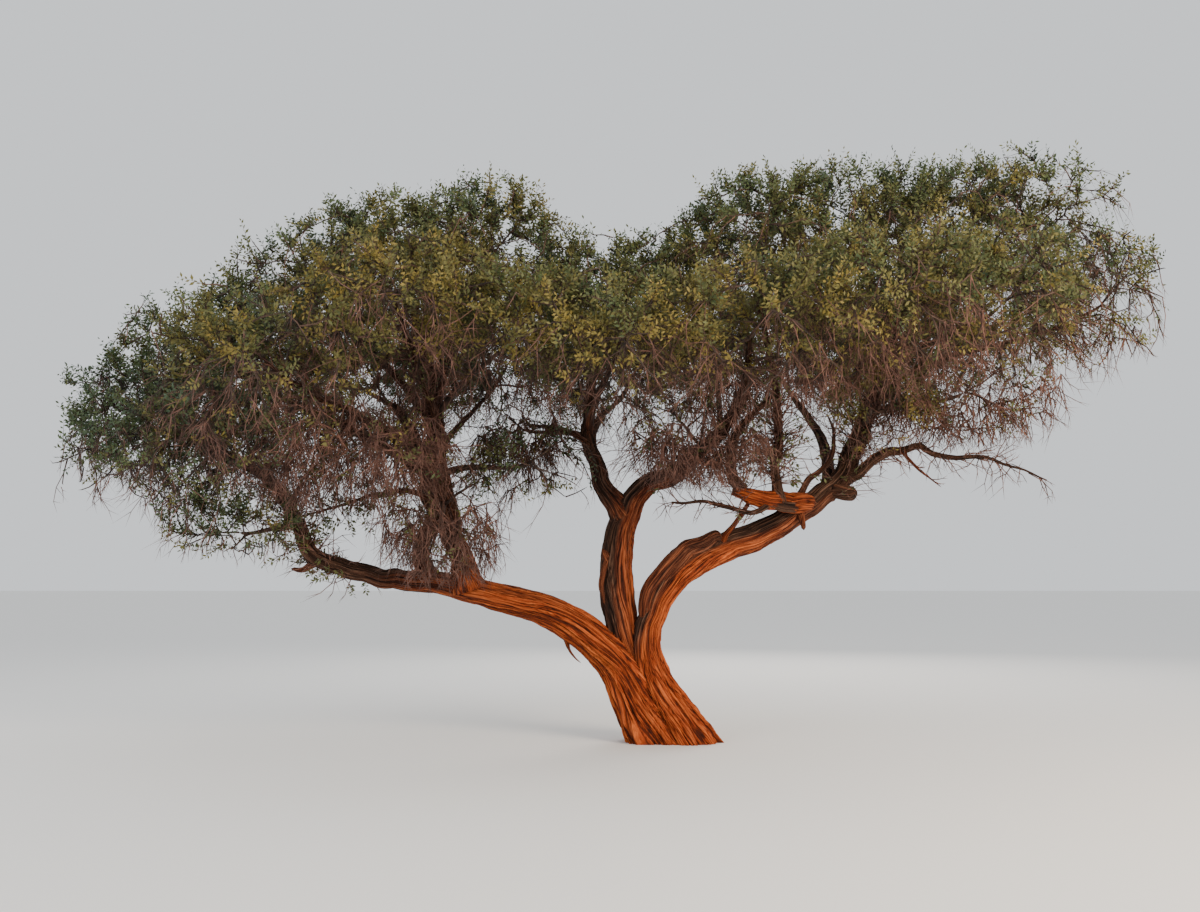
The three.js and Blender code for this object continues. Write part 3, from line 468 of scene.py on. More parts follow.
masses = []
for name, (centre, half, carrier, place, stand, gold) in MASSES.items():
    kind = "bare" if name.endswith("twigs") else "mixed" if name in MIXED else "leafy"
    masses.append(Named(name=name, index=len(masses), kind=kind, centre=np.array(centre, float),
                        half=np.array(half, float), leaves=(carrier, place), stand=stand, gold=gold,
                        full=FULL.get(name, 1.0), fringe=FRINGE.get(name, 1.0), bough=None))
CENTRES = np.array([mass.centre for mass in masses])
HALVES = np.array([mass.half for mass in masses])


def in_space(mass, points):
    """Which points lie in a mass's own space: its ragged ellipsoid, where no other mass is nearer."""
    points = np.atleast_2d(points)
    shares = np.linalg.norm((points[:, None] - CENTRES) / HALVES, axis=2)
    own = shares[:, mass.index].copy()
    shares[:, mass.index] = np.inf
    return (own <= SPACE.ragged) & (own + SPACE.between < shares.min(axis=1))


def entry_place(line, mass, start):
    """Where a line enters a mass's space."""
    places = np.linspace(start, line.last, 201)
    inside = in_space(mass, line.point(places))
    return places[np.argmax(inside)] if inside.any() else lerp(line.last, start, NO_ENTRY)


for mass in masses:
    carrier, place = mass.leaves
    if mass.stand == "end":
        mass.line = lines[carrier]
        mass.entry = mass.stem_from = entry_place(mass.line, mass, place)
        continue
    on_stem = mass.stand == "stem"
    foot = LIMB.foot_share * lines[carrier].radius(place) * (LIMB.stem_share if on_stem else 1)
    mass.line = reach_line(lines[carrier], place, mass.centre, foot)
    mass.entry = entry_place(mass.line, mass, FIRST_ENTRY)
    mass.stem_from = 0 if on_stem else mass.entry
    if not on_stem:
        mass.bough = f"{mass.name.split('_')[0]}_{mass.stand}_bough"
        lines[mass.bough] = mass.line

# Short straight lengths of every limb and stem, which what grows in another mass must stay clear of. Each row
# has both ends, the radius and the number of the mass that owns it, or -1.
lengths = []


def add_lengths(owner, line, start, end):
    steps = max(2, round(float(stretch_length(line, start, end)) / CLEAR_STEP))
    places = np.linspace(start, end, steps + 1)
    points, radii = line.point(places), line.radius(places)
    thick = np.maximum(radii[:-1], radii[1:])
    lengths.append(np.column_stack([points[:-1], points[1:], thick, np.full(steps, owner)]))


ends = {mass.leaves[0]: mass.entry for mass in masses if mass.stand == "end"}
for name in MAIN_LINES:
    add_lengths(-1, lines[name], 0, TRUNK_PLACES[name])
    add_lengths(-1, lines[name], TRUNK_PLACES[name], ends[name])
for name in SIDE_LIMBS:
    add_lengths(-1, lines[name], 0, ends.get(name, lines[name].last))
for mass in masses:
    if mass.bough:
        add_lengths(-1, mass.line, 0, mass.entry)
    add_lengths(mass.index, mass.line, mass.stem_from, mass.line.last)
lengths = np.concatenate(lengths)

# The lengths of others that come into the box round a mass's space, and the mass's mean side.
for mass in masses:
    start, end, owner = lengths[:, :3], lengths[:, 3:6], lengths[:, 7]
    box = mass.half * SPACE.ragged + NEAR
    reaches = (np.minimum(start, end) - mass.centre < box) & (np.maximum(start, end) - mass.centre > -box)
    mass.near = lengths[reaches.all(axis=1) & (owner != mass.index)]
    x, y, z = mass.half
    mass.side = (x * y + y * z + z * x) / 3


def in_reach(points):
    """Which points lie in the reach of the solids or a little past it. It narrows to the front and back."""
    low, high = (np.array(corner) for corner in CAD_BOX)
    share = np.abs(points - (low + high) / 2) / ((high - low) / 2 + PAST_BOX)
    narrow = 1 - NARROWING * share[..., 1] ** 2
    return (share[..., 0] < narrow) & (share[..., 1] < 1) & (points[..., 2] < high[2] + PAST_BOX)


def crown_share(points):
    """How far out points lie in the crown as a whole: 1 at the edge of its masses, which flow together."""
    power = CROWN.power
    shares = (np.abs((points[:, None] - CENTRES) / HALVES) ** power).sum(axis=2) ** (1 / power)
    return -np.log(np.exp(-CROWN.blend * shares).sum(axis=1)) / CROWN.blend


def in_crown(points, past=0.0):
    """Which points lie within the crown's ragged edge, or a share past it, and the reach of the solids."""
    edge = CROWN.edge + CROWN.ragged * noise(points / CROWN.rag, SEEDS.edge)
    return (crown_share(points) < edge + past) & in_reach(points)


def off_limbs(mass, points, radius, good):
    """Which of the good points lie off every limb and every other mass's stem."""
    good = good.copy()
    start, thick = mass.near[:, :3], mass.near[:, 6]
    along = mass.near[:, 3:6] - start
    for chunk in np.array_split(np.flatnonzero(good), 1 + good.sum() // 2000):
        away = points[chunk][:, None] - start
        share = np.clip((away * along).sum(axis=2) / (along ** 2).sum(axis=1), 0, 1)
        gap = np.linalg.norm(away - share[..., None] * along, axis=2) - thick
        good[chunk] = (gap > radius + SPACE.off_limbs).all(axis=1)
    return good


def outward(mass, direction, share):
    """The point in a direction from a mass's centre that is a share of the way to its space's edge."""
    reach = 1.0
    while reach > SPACE.least and not in_space(mass, mass.centre + direction * reach * mass.half)[0]:
        reach -= SPACE.inward
    return mass.centre + direction * share * reach * mass.half


def turned_direction(k, height, share):
    wide = math.sqrt(1 - height * height) * share
    return np.array([math.cos(k * GOLDEN_ANGLE) * wide, math.sin(k * GOLDEN_ANGLE) * wide, height])


def hanging_direction(k, count, draw):
    heights = HANGING.arm if k < HANGING.arm_share * count else HANGING.down
    height = lerp(*heights, draw())
    return turned_direction(k, height, lerp(*HANGING.wide, math.sqrt(draw())))


def twig_corners(at, along, tip, lift):
    """The corners of a twig's curve from a knot to its tip, and the span between them."""
    span = np.linalg.norm(tip - at)
    out = unit(unit(tip - at) + along * TWIG.onward)
    return [at, at + out * TWIG.start_pull * span, tip - np.array([0, 0, lift * span]), tip], span


def grow_twigs(mass):
    """The source's twigs of a mass: each leaves the nearest knot of its stem or of a twig before it."""
    draw = seeded_random(SEED + SEED_STRIDE * mass.index)
    kind = KINDS[mass.kind]
    count = math.floor(kind.twigs * mass.side + 0.5)
    places = np.linspace(mass.entry, mass.line.last, TWIG.stem_knots + 1)[1:]
    at, along = list(mass.line.point(places)), list(mass.line.tangent(places))
    radii = list(mass.line.radius(places))
    path = [TWIG.stem_knot_path * (i + 1) for i in range(len(places))]
    twigs = []
    for k in range(count):
        if mass.kind == "bare":
            tip = outward(mass, hanging_direction(k, count, draw), TWIG.bare_reach)
        else:
            even = turned_direction(k, 1 - 2 * (k + 0.5) / count, 1)
            tip = outward(mass, even, lerp(*TWIG.tip_reach, draw()))
        cost = np.linalg.norm(np.array(at) - tip, axis=1) + TWIG.path_cost * np.array(path)
        best = int(np.argmin(cost))
        radius = min(TWIG.radius, TWIG.share_of_knot * radii[best])
        corners, span = twig_corners(at[best], along[best], tip, kind.lift)
        twig = Bezier(corners, radius, radius * TWIG.tip_share)
        checks = twig.point(TWIG.checks)
        if span < TWIG.shortest or not off_limbs(mass, checks, radius, in_space(mass, checks)).all():
            continue
        twigs.append(twig)
        at.extend(twig.point(TWIG.knots))
        along.extend(twig.tangent(TWIG.knots))
        path.extend(path[best] + place * span for place in TWIG.knots)
        radii.extend(radius * (1 - TWIG.knot_taper * place) for place in TWIG.knots)
    return twigs


def random_units(rng, count):
    return unit(rng.normal(size=(count, 3)))


def spread(points, gap, wanted):
    """The points that keep a gap to those chosen before them, up to the number wanted."""
    chosen = points[:1]
    for point in points[1:]:
        if len(chosen) < wanted and np.linalg.norm(chosen - point, axis=1).min() > gap:
            chosen = np.concatenate([chosen, [point]])
    return chosen


def grow_fine_twigs(mass, twigs, rng):
    """Twigs on the source's twigs, aimed at well spread points of the mass's space, nearest knot first."""
    fine = FINE[mass.kind]
    wanted = round(fine.twigs * mass.side)
    tries = FINE_TWIG.tries * wanted
    shell = random_units(rng, tries)
    if mass.kind == "bare":
        shell[:, 2] = -np.abs(shell[:, 2]) * 0.9 + 0.2
    low, high = FINE_TWIG.aim
    share = rng.uniform(low ** 3, high ** 3, (tries, 1)) ** (1 / 3)
    targets = mass.centre + unit(shell) * share * mass.half
    targets = targets[off_limbs(mass, targets, FINE_TWIG.off_limbs, in_crown(targets))]
    targets = spread(targets, FINE_TWIG.gap * (mass.half.prod() * 4 / wanted) ** (1 / 3), wanted)
    targets = targets[np.argsort(np.linalg.norm((targets - mass.centre) / mass.half, axis=1))]
    places = np.array(FINE_TWIG.carriers)
    stem, stem_places = mass.line, lerp(mass.entry, mass.line.last, places)
    at = np.concatenate([line.point(places) for line in twigs] + [stem.point(stem_places)])
    along = np.concatenate([line.tangent(places) for line in twigs] + [stem.tangent(stem_places)])
    path = np.tile(places, len(twigs) + 1) * FINE_TWIG.first_path
    made = []
    for target in targets:
        cost = np.linalg.norm(at - target, axis=1) + TWIG.path_cost * path
        best = int(np.argmin(cost))
        lift = fine.lift + rng.uniform(-FINE_TWIG.lift, FINE_TWIG.lift)
        corners, span = twig_corners(at[best], along[best], target, lift)
        if span < FINE_TWIG.span[0] or span > FINE_TWIG.span[1]:
            continue
        side = rng.normal(size=3) * FINE_TWIG.bend * span
        corners[1], corners[2] = corners[1] + side, corners[2] - side
        twig = Bezier(corners, *FINE_TWIG.radii)
        made.append(twig)
        knots = FINE_TWIG.knots
        at = np.concatenate([at, twig.point(knots)])
        along = np.concatenate([along, twig.tangent(knots)])
        path = np.concatenate([path, path[best] + span * np.array(knots)])
    return made


def places_on(twigs, count, rng):
    """Points and directions by chance on the outer part of twigs."""
    corners = np.array([twig.corners for twig in twigs])
    pick = rng.integers(0, len(corners), count)
    return cubic(corners[pick].swapaxes(0, 1), rng.uniform(CARRIED_FROM, 1, count)[:, None])


def grow_shoots(mass, carriers, rng):
    """Shoots on twigs: where they start, bend and end, and which of them carry leaves."""
    fine = FINE[mass.kind]
    wanted = round(fine.shoots * mass.side)
    tries = round(SHOOT.tries * wanted)
    at, along = places_on(carriers, tries, rng)
    place = (at - mass.centre) / mass.half
    height = place[:, 2]
    leafy = rng.random(tries) > lerp(fine.hang, fine.low_hang, smooth_step(*SHOOT.low, height))
    dense = noise(at / SHOOT.patch, mass.index) + SHOOT.by_full * mass.full + SHOOT.by_height * height
    leafy &= dense > rng.uniform(*SHOOT.thinning, tries)
    leafy &= rng.random(tries) < mass.full
    up = np.where(leafy, SHOOT.leafy_up, SHOOT.bare_up)[:, None] * (0, 0, 1)
    away = SHOOT.outward * unit(place)
    way = unit(SHOOT.onward * along + away + up + SHOOT.stray * random_units(rng, tries))
    leader = leafy & (height > LEADER.above) & (rng.random(tries) < LEADER.share)
    length = np.where(leafy, rng.uniform(*SHOOT.leafy, tries), rng.uniform(*SHOOT.bare, tries))
    length = (length * np.where(leader, LEADER.length, 1))[:, None]
    bend = random_units(rng, tries) * length * np.where(leafy, 0, SHOOT.bare_bend)[:, None]
    middle = at + way * length * 0.5 + bend
    tip = at + way * length + np.where(leafy, 0.0, SHOOT.bare_sag)[:, None] * length * (0, 0, 1)
    good = in_crown(tip, np.where(leader, LEADER.past_edge, 0)) & in_reach(middle)
    chosen = np.flatnonzero(off_limbs(mass, middle, SHOOT.off_limbs, good))[:wanted]
    return np.stack([at, middle, tip], axis=1)[chosen], leafy[chosen]


def crooked(at, way, length, droop, rng):
    """Paths of three steps that turn at each, as dry twigs do."""
    points = [at]
    for step in range(3):
        way = unit(way + STRAND.crook * random_units(rng, len(at)) - (0, 0, droop))
        points.append(points[-1] + way * length[:, None] / 3)
    return np.stack(points, axis=1)


def side_twigs(paths, length, rng):
    """Straight twigs that leave the two bends of crooked ones."""
    made = []
    for bend in (1, 2):
        stray = STRAND.side_stray * random_units(rng, len(paths))
        way = unit(unit(paths[:, bend + 1] - paths[:, bend]) + stray)
        share = rng.uniform(*STRAND.side_share, (len(paths), 1))
        made.append(np.stack([paths[:, bend], paths[:, bend] + way * share * length[:, None]], axis=1))
    return np.concatenate(made)


def grow_strands(mass, carriers, rng):
    """Long bare twigs that hang from the lower part of a mass, and their side twigs."""
    fine = FINE[mass.kind]
    wanted = round(fine.strands * mass.side * mass.fringe)
    tries = STRAND.tries * wanted
    at, along = places_on(carriers, tries, rng)
    length = rng.uniform(*STRAND.length, tries)
    way = unit(0.5 * along + 0.5 * random_units(rng, tries) - (0, 0, STRAND.down))
    paths = crooked(at, way, length, STRAND.droop, rng)
    height = (at - mass.centre)[:, 2] / mass.half[2]
    kept = (height < rng.uniform(STRAND.bottom, fine.strands_top, tries)) & in_reach(paths[:, -1])
    kept &= crown_share(paths[:, -1]) < CROWN.hanging
    chosen = np.flatnonzero(kept)[:wanted]
    sides = side_twigs(paths[chosen], length[chosen], rng)
    return paths[chosen], sides[in_reach(sides[:, -1])]


def grow_spare_twigs(line, start, end, count, longest, in_leaf, rng):
    """Crooked twigs along a limb, their side twigs, and which of these are in leaf."""
    places = rng.uniform(start, end, count) * line.last
    way = unit(0.8 * line.tangent(places) + 0.9 * random_units(rng, count))
    length = longest * rng.uniform(SPARE.shortest, 1, count)
    paths = crooked(line.point(places), way, length, SPARE.droop, rng)
    sides = side_twigs(paths, length, rng)
    return paths, sides, rng.random(len(sides)) < in_leaf


def tubes(paths, radii, sides):
    """Closed tubes along paths, ending in a point: their corners and triangles."""
    count, rings = paths.shape[:2]
    along = unit(np.gradient(paths, axis=1))
    guide = np.where(np.abs(along[:, :1, 1]) < 0.8, [[0.0, 1.0, 0.0]], [[1.0, 0.0, 0.0]])
    across = unit(np.cross(guide, along[:, 0]))
    turn = np.arange(sides) * 2 * math.pi / sides
    shells = []
    for ring in range(rings - 1):
        across = unit(across - (across * along[:, ring]).sum(axis=1, keepdims=True) * along[:, ring])
        beside = np.cross(along[:, ring], across)
        round_it = np.cos(turn)[:, None] * across[:, None] + np.sin(turn)[:, None] * beside[:, None]
        shells.append(paths[:, ring, None] + radii[:, ring, None, None] * round_it)
    corners = np.concatenate([*shells, paths[:, -1:]], axis=1)
    tip = (rings - 1) * sides
    faces = [(0, i + 1, i) for i in range(1, sides - 1)]
    for ring in range(rings - 1):
        for i in range(sides):
            a, b = ring * sides + i, ring * sides + (i + 1) % sides
            if ring == rings - 2:
                faces.append((a, b, tip))
            else:
                faces.extend([(a, b, b + sides), (a, b + sides, a + sides)])
    starts = np.arange(count)[:, None, None] * (tip + 1)
    return corners.reshape(-1, 3), (np.array(faces) + starts).reshape(-1, 3)


def leaflets(shoots, rng):
    """Two rows of narrow folded leaflets along each shoot, and one at its tip."""
    grid = len(shoots), LEAFLET.count
    start, middle, tip = (shoots[:, i, None] for i in range(3))
    t = np.linspace(LEAFLET.first, 1, LEAFLET.count)[None, :, None]
    foot = start * (1 - t) ** 2 + 2 * (2 * middle - (start + tip) / 2) * t * (1 - t) + tip * t ** 2
    along = unit(tip - start)
    across = unit(np.cross(along, random_units(rng, len(shoots))[:, None]))
    hand = np.where(np.arange(LEAFLET.count) % 2 == 0, 1.0, -1.0)
    hand[-1] = LEAFLET.last_side
    spin = rng.normal(0, LEAFLET.spin, (*grid, 1))
    over = np.cross(along, across)
    side = hand[None, :, None] * (across * np.cos(spin) + over * np.sin(spin))
    way = unit(along * LEAFLET.forward + side + rng.normal(0, LEAFLET.stray, (*grid, 3)))
    size = rng.uniform(*LEAFLET.length, (*grid, 1)) * lerp(*LEAFLET.taper, t)
    flat = unit(np.cross(way, over + rng.normal(0, LEAFLET.tilt, (*grid, 3))))
    lift = np.cross(flat, way) * size * LEAFLET.fold
    half = flat * size * LEAFLET.width / 2
    belly = foot + way * size * LEAFLET.belly + lift
    corners = np.stack([foot, belly + half, foot + way * size, belly - half], axis=2).reshape(-1, 3)
    first = np.arange(math.prod(grid))[:, None, None] * 4
    return corners, (first + np.array([(0, 1, 2), (0, 2, 3)])).reshape(-1, 3)


def mesh_of(name, corners, faces):
    mesh = bpy.data.meshes.new(name)
    mesh.vertices.add(len(corners))
    mesh.vertices.foreach_set("co", np.ascontiguousarray(corners, np.float32).ravel())
    mesh.loops.add(faces.size)
    mesh.loops.foreach_set("vertex_index", np.ascontiguousarray(faces, np.int32).ravel())
    mesh.polygons.add(len(faces))
    mesh.polygons.foreach_set("loop_start", np.arange(0, faces.size, 3, dtype=np.int32))
    mesh.update(calc_edges=True)
    mesh.validate()
    return mesh


def add_piece(name, mesh, material, slot, nodes):
    """A piece that stands for CAD nodes and rides on the one body."""
    made = bpy.data.objects.new(name, mesh)
    bpy.context.scene.collection.objects.link(made)
    mesh.materials.clear()
    mesh.materials.append(material)
    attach(made, "root")
    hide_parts(*nodes)


# Bark. Sides round a limb by its least radius, thickest first, and the length of a step along it.
SIDES = ((0.17, 160), (0.085, 80), (0.045, 40), (0.02, 20), (0, 10))
RING_STEPS = ((0.085, 0.035), (0.045, 0.05), (0, 0.08))

# The bark's cords: how many units of noise make a thick limb's radius, how long they run and how they wind.
CORDS = 7.5
RIDGE_LENGTH = 1.05
TWIST = 0.3
LUMPS = 0.05

# How deep the bark's relief is in metres and as a share of the radius, and what makes it up.
RELIEF = Named(least=0.001, thick=0.011, by_radius=0.11, cords=0.6, fibres=0.2, cracks=0.2, middle=0.7)

# How deep each limb is folded, and how far it sways, as shares of its radius. Then the least tip of small
# wood that isn't thin, and the length of wood from the ground that small wood is taken to have.
FOLDS = {"left_line": 0.1, "centre_line": 0.24, "right_line": 0.16}
SMALL_FOLD = 0.14
SWAYS = {"bare_branch": 2.0, "dead_branch": 2.0}
SIDE_SWAY = 0.8
SMALL_SWAYS = {"thin": 1.8, "thick": 0.5}
THIN_TIP = 0.03
SMALL_RUN = 2.0

# Lengths of wood from the ground over which the orange, partly painted sunlight, fades to a grey-brown that
# is partly painted shade, and over which the painted shade on the side away from the light sets in.
FADE = (2.1, 4.3)
SHADE_SETS_IN = (0.9, 1.7)


def by_radius(table, radius):
    return next(value for least, value in table if radius >= least)


def ring_places(line, step_share):
    """Places along a line with a step that suits its radius, and the length from the start to each."""
    fine = np.linspace(0, line.last, 1500)
    points = line.point(fine)
    run = np.concatenate([[0], np.cumsum(np.linalg.norm(np.diff(points, axis=0), axis=1))])
    at = [0.0]
    while at[-1] < run[-1]:
        radius = float(line.radius(np.interp(at[-1], run, fine)))
        at.append(at[-1] + by_radius(RING_STEPS, radius) * step_share)
    at = np.array(at) * run[-1] / at[-1]
    return np.interp(at, run, fine), at


def bark_height(turn, run, radius, seed, fold):
    """How far the bark stands out, the share of that, and where the bark's grain runs, at one ring."""
    around = xyz(np.cos(turn), np.sin(turn), 0)
    wander = 0.3 * noise(around * 1.3 + (0, 0, run / 0.8), seed)
    angle = turn + wander + TWIST * run
    tight = CORDS * (radius / 0.3) ** 0.25
    grain = xyz(np.cos(angle) * tight, np.sin(angle) * tight, run / RIDGE_LENGTH)
    coarse = np.minimum(1, 3.4 * np.abs(noise(grain, seed + 1)))
    fine = np.minimum(1, 2.4 * np.abs(noise(grain * (2.3, 2.3, 1.9) + 7.3, seed + 2)))
    cracks = smooth_step(-0.2, 0.2, noise(grain * (1, 1, 6) + 3.1, seed + 3))
    share = np.clip(RELIEF.cords * coarse ** 0.7 + RELIEF.fibres * fine + RELIEF.cracks * cracks, 0, 1)
    depth = RELIEF.by_radius * radius + RELIEF.thick * smooth_step(0.0, 0.1, radius) + RELIEF.least
    folds = noise(around * 1.3 + (11.7, 0, run / 1.1), seed + 4)
    lumps = noise(around * 1.6 + (5.1, 0, run / (0.12 + 1.2 * radius)), seed + 5)
    height = depth * (share - RELIEF.middle) + radius * (fold * (folds - 0.2) + LUMPS * lumps)
    return height, share, grain


def swayed(centres, radii, run, sway, seed):
    """A limb's middle line with small bends, held at its foot and where it is thick."""
    shift = np.stack([noise(centres / 0.28, seed + i) for i in (6, 7, 8)], axis=1)
    hold = smooth_step(0.02, 0.35, run) * smooth_step(0.19, 0.09, radii)
    return centres + shift * (sway * radii * hold)[:, None]


def warmth_at(run, warm):
    """How orange the bark is, by the length of wood from the ground: it turns grey-brown along the limbs. The
    orange is partly painted warm sunlight on the bark's own colour, and the fade is partly painted shade
    under the crown.
    """
    return warm * (1 - smooth_step(*FADE, run))


def ring_faces(low, n, high, m):
    """The triangles from a ring of n corners to the next one of m, which has as many or half as many."""
    i = np.arange(m)
    after = (i + 1) % m
    if n == m:
        made = [(low + i, low + after, high + after), (low + i, high + after, high + i)]
    else:
        odd = low + 2 * i + 1
        made = [(odd - 1, odd, high + i), (odd, high + after, high + i), (odd, low + 2 * after, high + after)]
    return np.concatenate([np.stack(corners, axis=1) for corners in made])


def bark_tube(line, seed, fold=0.1, collar=0.0, base_run=0.0, warm=1.0, foot_warm=None, sway=0.5, blunt=False,
              painted_shade=0.0):
    """A limb with its bark's relief: a table of corners, furrow, grain and warmth, and its triangles. Its
    warmth holds painted sunlight and painted shade.
    """
    places, run = ring_places(line, 0.35 if blunt else 1)
    radii = line.radius(places)
    centres = swayed(line.point(places), radii, run, sway, seed)
    along = unit(np.gradient(centres, axis=0))
    sides = np.minimum.accumulate([by_radius(SIDES, radius) for radius in radii])
    if blunt:
        left = np.clip((run[-1] - run) / (0.9 * radii[-1]), 0.02, 1)
        radii = radii * np.sqrt(1 - (1 - left) ** 2)
    if collar > 0:
        radii = radii * (1 + 0.5 * np.exp(-(run / (1.5 * collar)) ** 2))
    across = unit(np.cross((0, 1, 0) if abs(along[0, 1]) < 0.8 else (1, 0, 0), along[0]))
    rings = []
    for ring, count in enumerate(sides):
        across = unit(across - across.dot(along[ring]) * along[ring])
        beside = np.cross(along[ring], across)
        turn = np.arange(count) * 2 * math.pi / count
        total_run = run[ring] + base_run
        flare = 1 + 0.8 * math.exp(-max(centres[ring, 2], 0) / 0.3) if base_run == 0 else 1
        height, furrow, grain = bark_height(turn, total_run, radii[ring], seed, fold)
        round_it = np.cos(turn)[:, None] * across + np.sin(turn)[:, None] * beside
        corners = centres[ring] + (radii[ring] + height * flare)[:, None] * round_it
        own = warmth_at(total_run, warm)
        if foot_warm is not None:
            past_foot = smooth_step(0, WARMTH_RUN if base_run else TRUNK_WARMTH_RUN, run[ring])
            own = lerp(warmth_at(base_run, foot_warm), own, past_foot)
        # Painted shade: above the fork the bark is made darker and less orange on the side turned away from
        # the light.
        shade_depth = painted_shade * smooth_step(*SHADE_SETS_IN, total_run)
        warmth = own - shade_depth * smooth_step(-0.2, 0.65, round_it @ SHADE_SIDE)
        rings.append(np.column_stack([corners, furrow, grain, warmth]))
    ends = np.array([rings[0][0], rings[-1][0]])
    ends[:, :3] = centres[0], centres[-1]
    ends[:, 3] = 0.5
    firsts = np.cumsum([0, *sides])
    faces = [ring_faces(*given) for given in zip(firsts, sides, firsts[1:], sides[1:])]
    (last, total), n, m = firsts[-2:], sides[0], sides[-1]
    i, j = np.arange(n), np.arange(m)
    faces.append(np.stack([np.full(n, total), (i + 1) % n, i], axis=1))
    faces.append(np.stack([last + j, last + (j + 1) % m, np.full(m, total + 1)], axis=1))
    return np.concatenate([*rings, ends]), np.concatenate(faces)


def run_to(name, place):
    """The length of wood from the ground to a place of a line."""
    here = float(stretch_length(lines[name], 0, place))
    if name in SIDE_LIMBS:
        return here + run_to(*SIDE_LIMBS[name][:2])
    return here


def bark_tubes():
    """Every limb of the tree with its bark."""
    made = []

    def add(name, seed, leaves=None, **looks):
        if leaves:
            carrier, place = leaves
            looks.update(collar=float(lines[carrier].radius(place)), base_run=run_to(carrier, place))
        made.append(bark_tube(lines[name], seed, **looks))

    for index, name in enumerate(MAIN_LINES):
        add(name, 10 * index, fold=FOLDS[name], warm=WARMTH.get(name, 1.0), foot_warm=1.0,
            painted_shade=PAINTED_SHADE[name])
    for index, (name, (carrier, place, foot, points)) in enumerate(SIDE_LIMBS.items()):
        add(name, SEEDS.limb + 10 * index, (carrier, place), warm=WARMTH.get(name, SIDE_WARMTH),
            foot_warm=WARMTH.get(carrier, 1.0), sway=SWAYS.get(name, SIDE_SWAY),
            painted_shade=PAINTED_SHADE.get(name, 0))
    boughs = [mass for mass in masses if mass.bough]
    for index, mass in enumerate(boughs):
        add(mass.bough, SEEDS.bough + 10 * index, mass.leaves)
    for index, (name, (warm, points)) in enumerate(SMALL_WOOD.items()):
        sway = SMALL_SWAYS["thin" if points[-1][3] < THIN_TIP else "thick"]
        add(name, SEEDS.small_wood + 10 * index, fold=SMALL_FOLD, base_run=SMALL_RUN, warm=warm, sway=sway,
            blunt=True)
    return made


def joined(parts, name):
    """Closed meshes joined by a union and cut flat at the ground, as one mesh."""
    limbs = bpy.data.collections.new(name + "_parts")
    bpy.context.scene.collection.children.link(limbs)
    objects = []
    for i, (table, faces) in enumerate(parts):
        objects.append(bpy.data.objects.new(f"{name}_{i}", mesh_of(f"{name}_{i}", table[:, :3], faces)))
    bpy.context.scene.collection.objects.link(objects[0])
    for other in objects[1:]:
        limbs.objects.link(other)
    union = objects[0].modifiers.new("union", "BOOLEAN")
    union.operation, union.solver = "UNION", "MANIFOLD"
    union.operand_type, union.collection = "COLLECTION", limbs
    bpy.ops.mesh.primitive_cube_add(size=4, location=(0, 0, -2))
    below = bpy.context.object
    cut = objects[0].modifiers.new("cut", "BOOLEAN")
    cut.operation, cut.solver, cut.object = "DIFFERENCE", "MANIFOLD", below
    graph = bpy.context.evaluated_depsgraph_get()
    mesh = bpy.data.meshes.new_from_object(objects[0].evaluated_get(graph))
    for gone in [*objects, below]:
        bpy.data.objects.remove(gone, do_unlink=True)
    bpy.data.collections.remove(limbs)
    return mesh


# What the bark's material reads, and its columns in the tubes' tables.
BARK_LAYERS = (("furrow", "FLOAT", "value", 3), ("warmth", "FLOAT", "value", 7),
               ("grain", "FLOAT_VECTOR", "vector", slice(4, 7)))


def carry_over(mesh, parts):
    """Gives a joined mesh what its parts' nearest corners tell the bark's material."""
    table = np.concatenate([part[0] for part in parts])
    tree = KDTree(len(table))
    for i, row in enumerate(table):
        tree.insert(row[:3], i)
    tree.balance()
    nearest = np.array([tree.find(vertex.co)[1] for vertex in mesh.vertices])
    for name, kind, field, columns in BARK_LAYERS:
        layer = mesh.attributes.new(name, kind, "POINT")
        layer.data.foreach_set(field, table[nearest, columns].astype(np.float32).ravel())


class Nodes:
    """A material's node tree, with short calls to add and link nodes."""

    def __init__(self, name):
        self.material = bpy.data.materials.new(name)
        self.material.use_nodes = True
        self.tree = self.material.node_tree
        self.inputs = self.tree.nodes["Principled BSDF"].inputs

    def add(self, kind, inputs=(), **settings):
        made = self.tree.nodes.new("ShaderNode" + kind)
        for key, value in settings.items():
            setattr(made, key, value)
        for key, value in dict(inputs).items():
            self.set(made.inputs[key], value)
        return made

    def set(self, socket, value):
        if isinstance(value, bpy.types.NodeSocket):
            self.tree.links.new(value, socket)
        else:
            socket.default_value = value

    def maths(self, operation, a, b, clamp=False):
        return self.add("Math", {0: a, 1: b}, operation=operation, use_clamp=clamp).outputs[0]

    def times(self, a, b, clamp=False):
        return self.maths("MULTIPLY", a, b, clamp)

    def plus(self, a, b, clamp=False):
        return self.maths("ADD", a, b, clamp)

    def stretch(self, vector, along):
        """A vector's third part times a number."""
        return self.add("VectorMath", {0: vector, 1: (1, 1, along)}, operation="MULTIPLY").outputs[0]

    def noise(self, vector, scale, **inputs):
        return self.add("TexNoise", {"Vector": vector, "Scale": scale, **inputs}).outputs[0]

    def ramp(self, value, stops):
        made = self.add("ValToRGB", {0: value})
        elements = made.color_ramp.elements
        while len(elements) < len(stops):
            elements.new(0.5)
        for element, (place, colour) in zip(elements, stops):
            element.position = place
            element.color = (*colour, 1)
        return made.outputs[0]


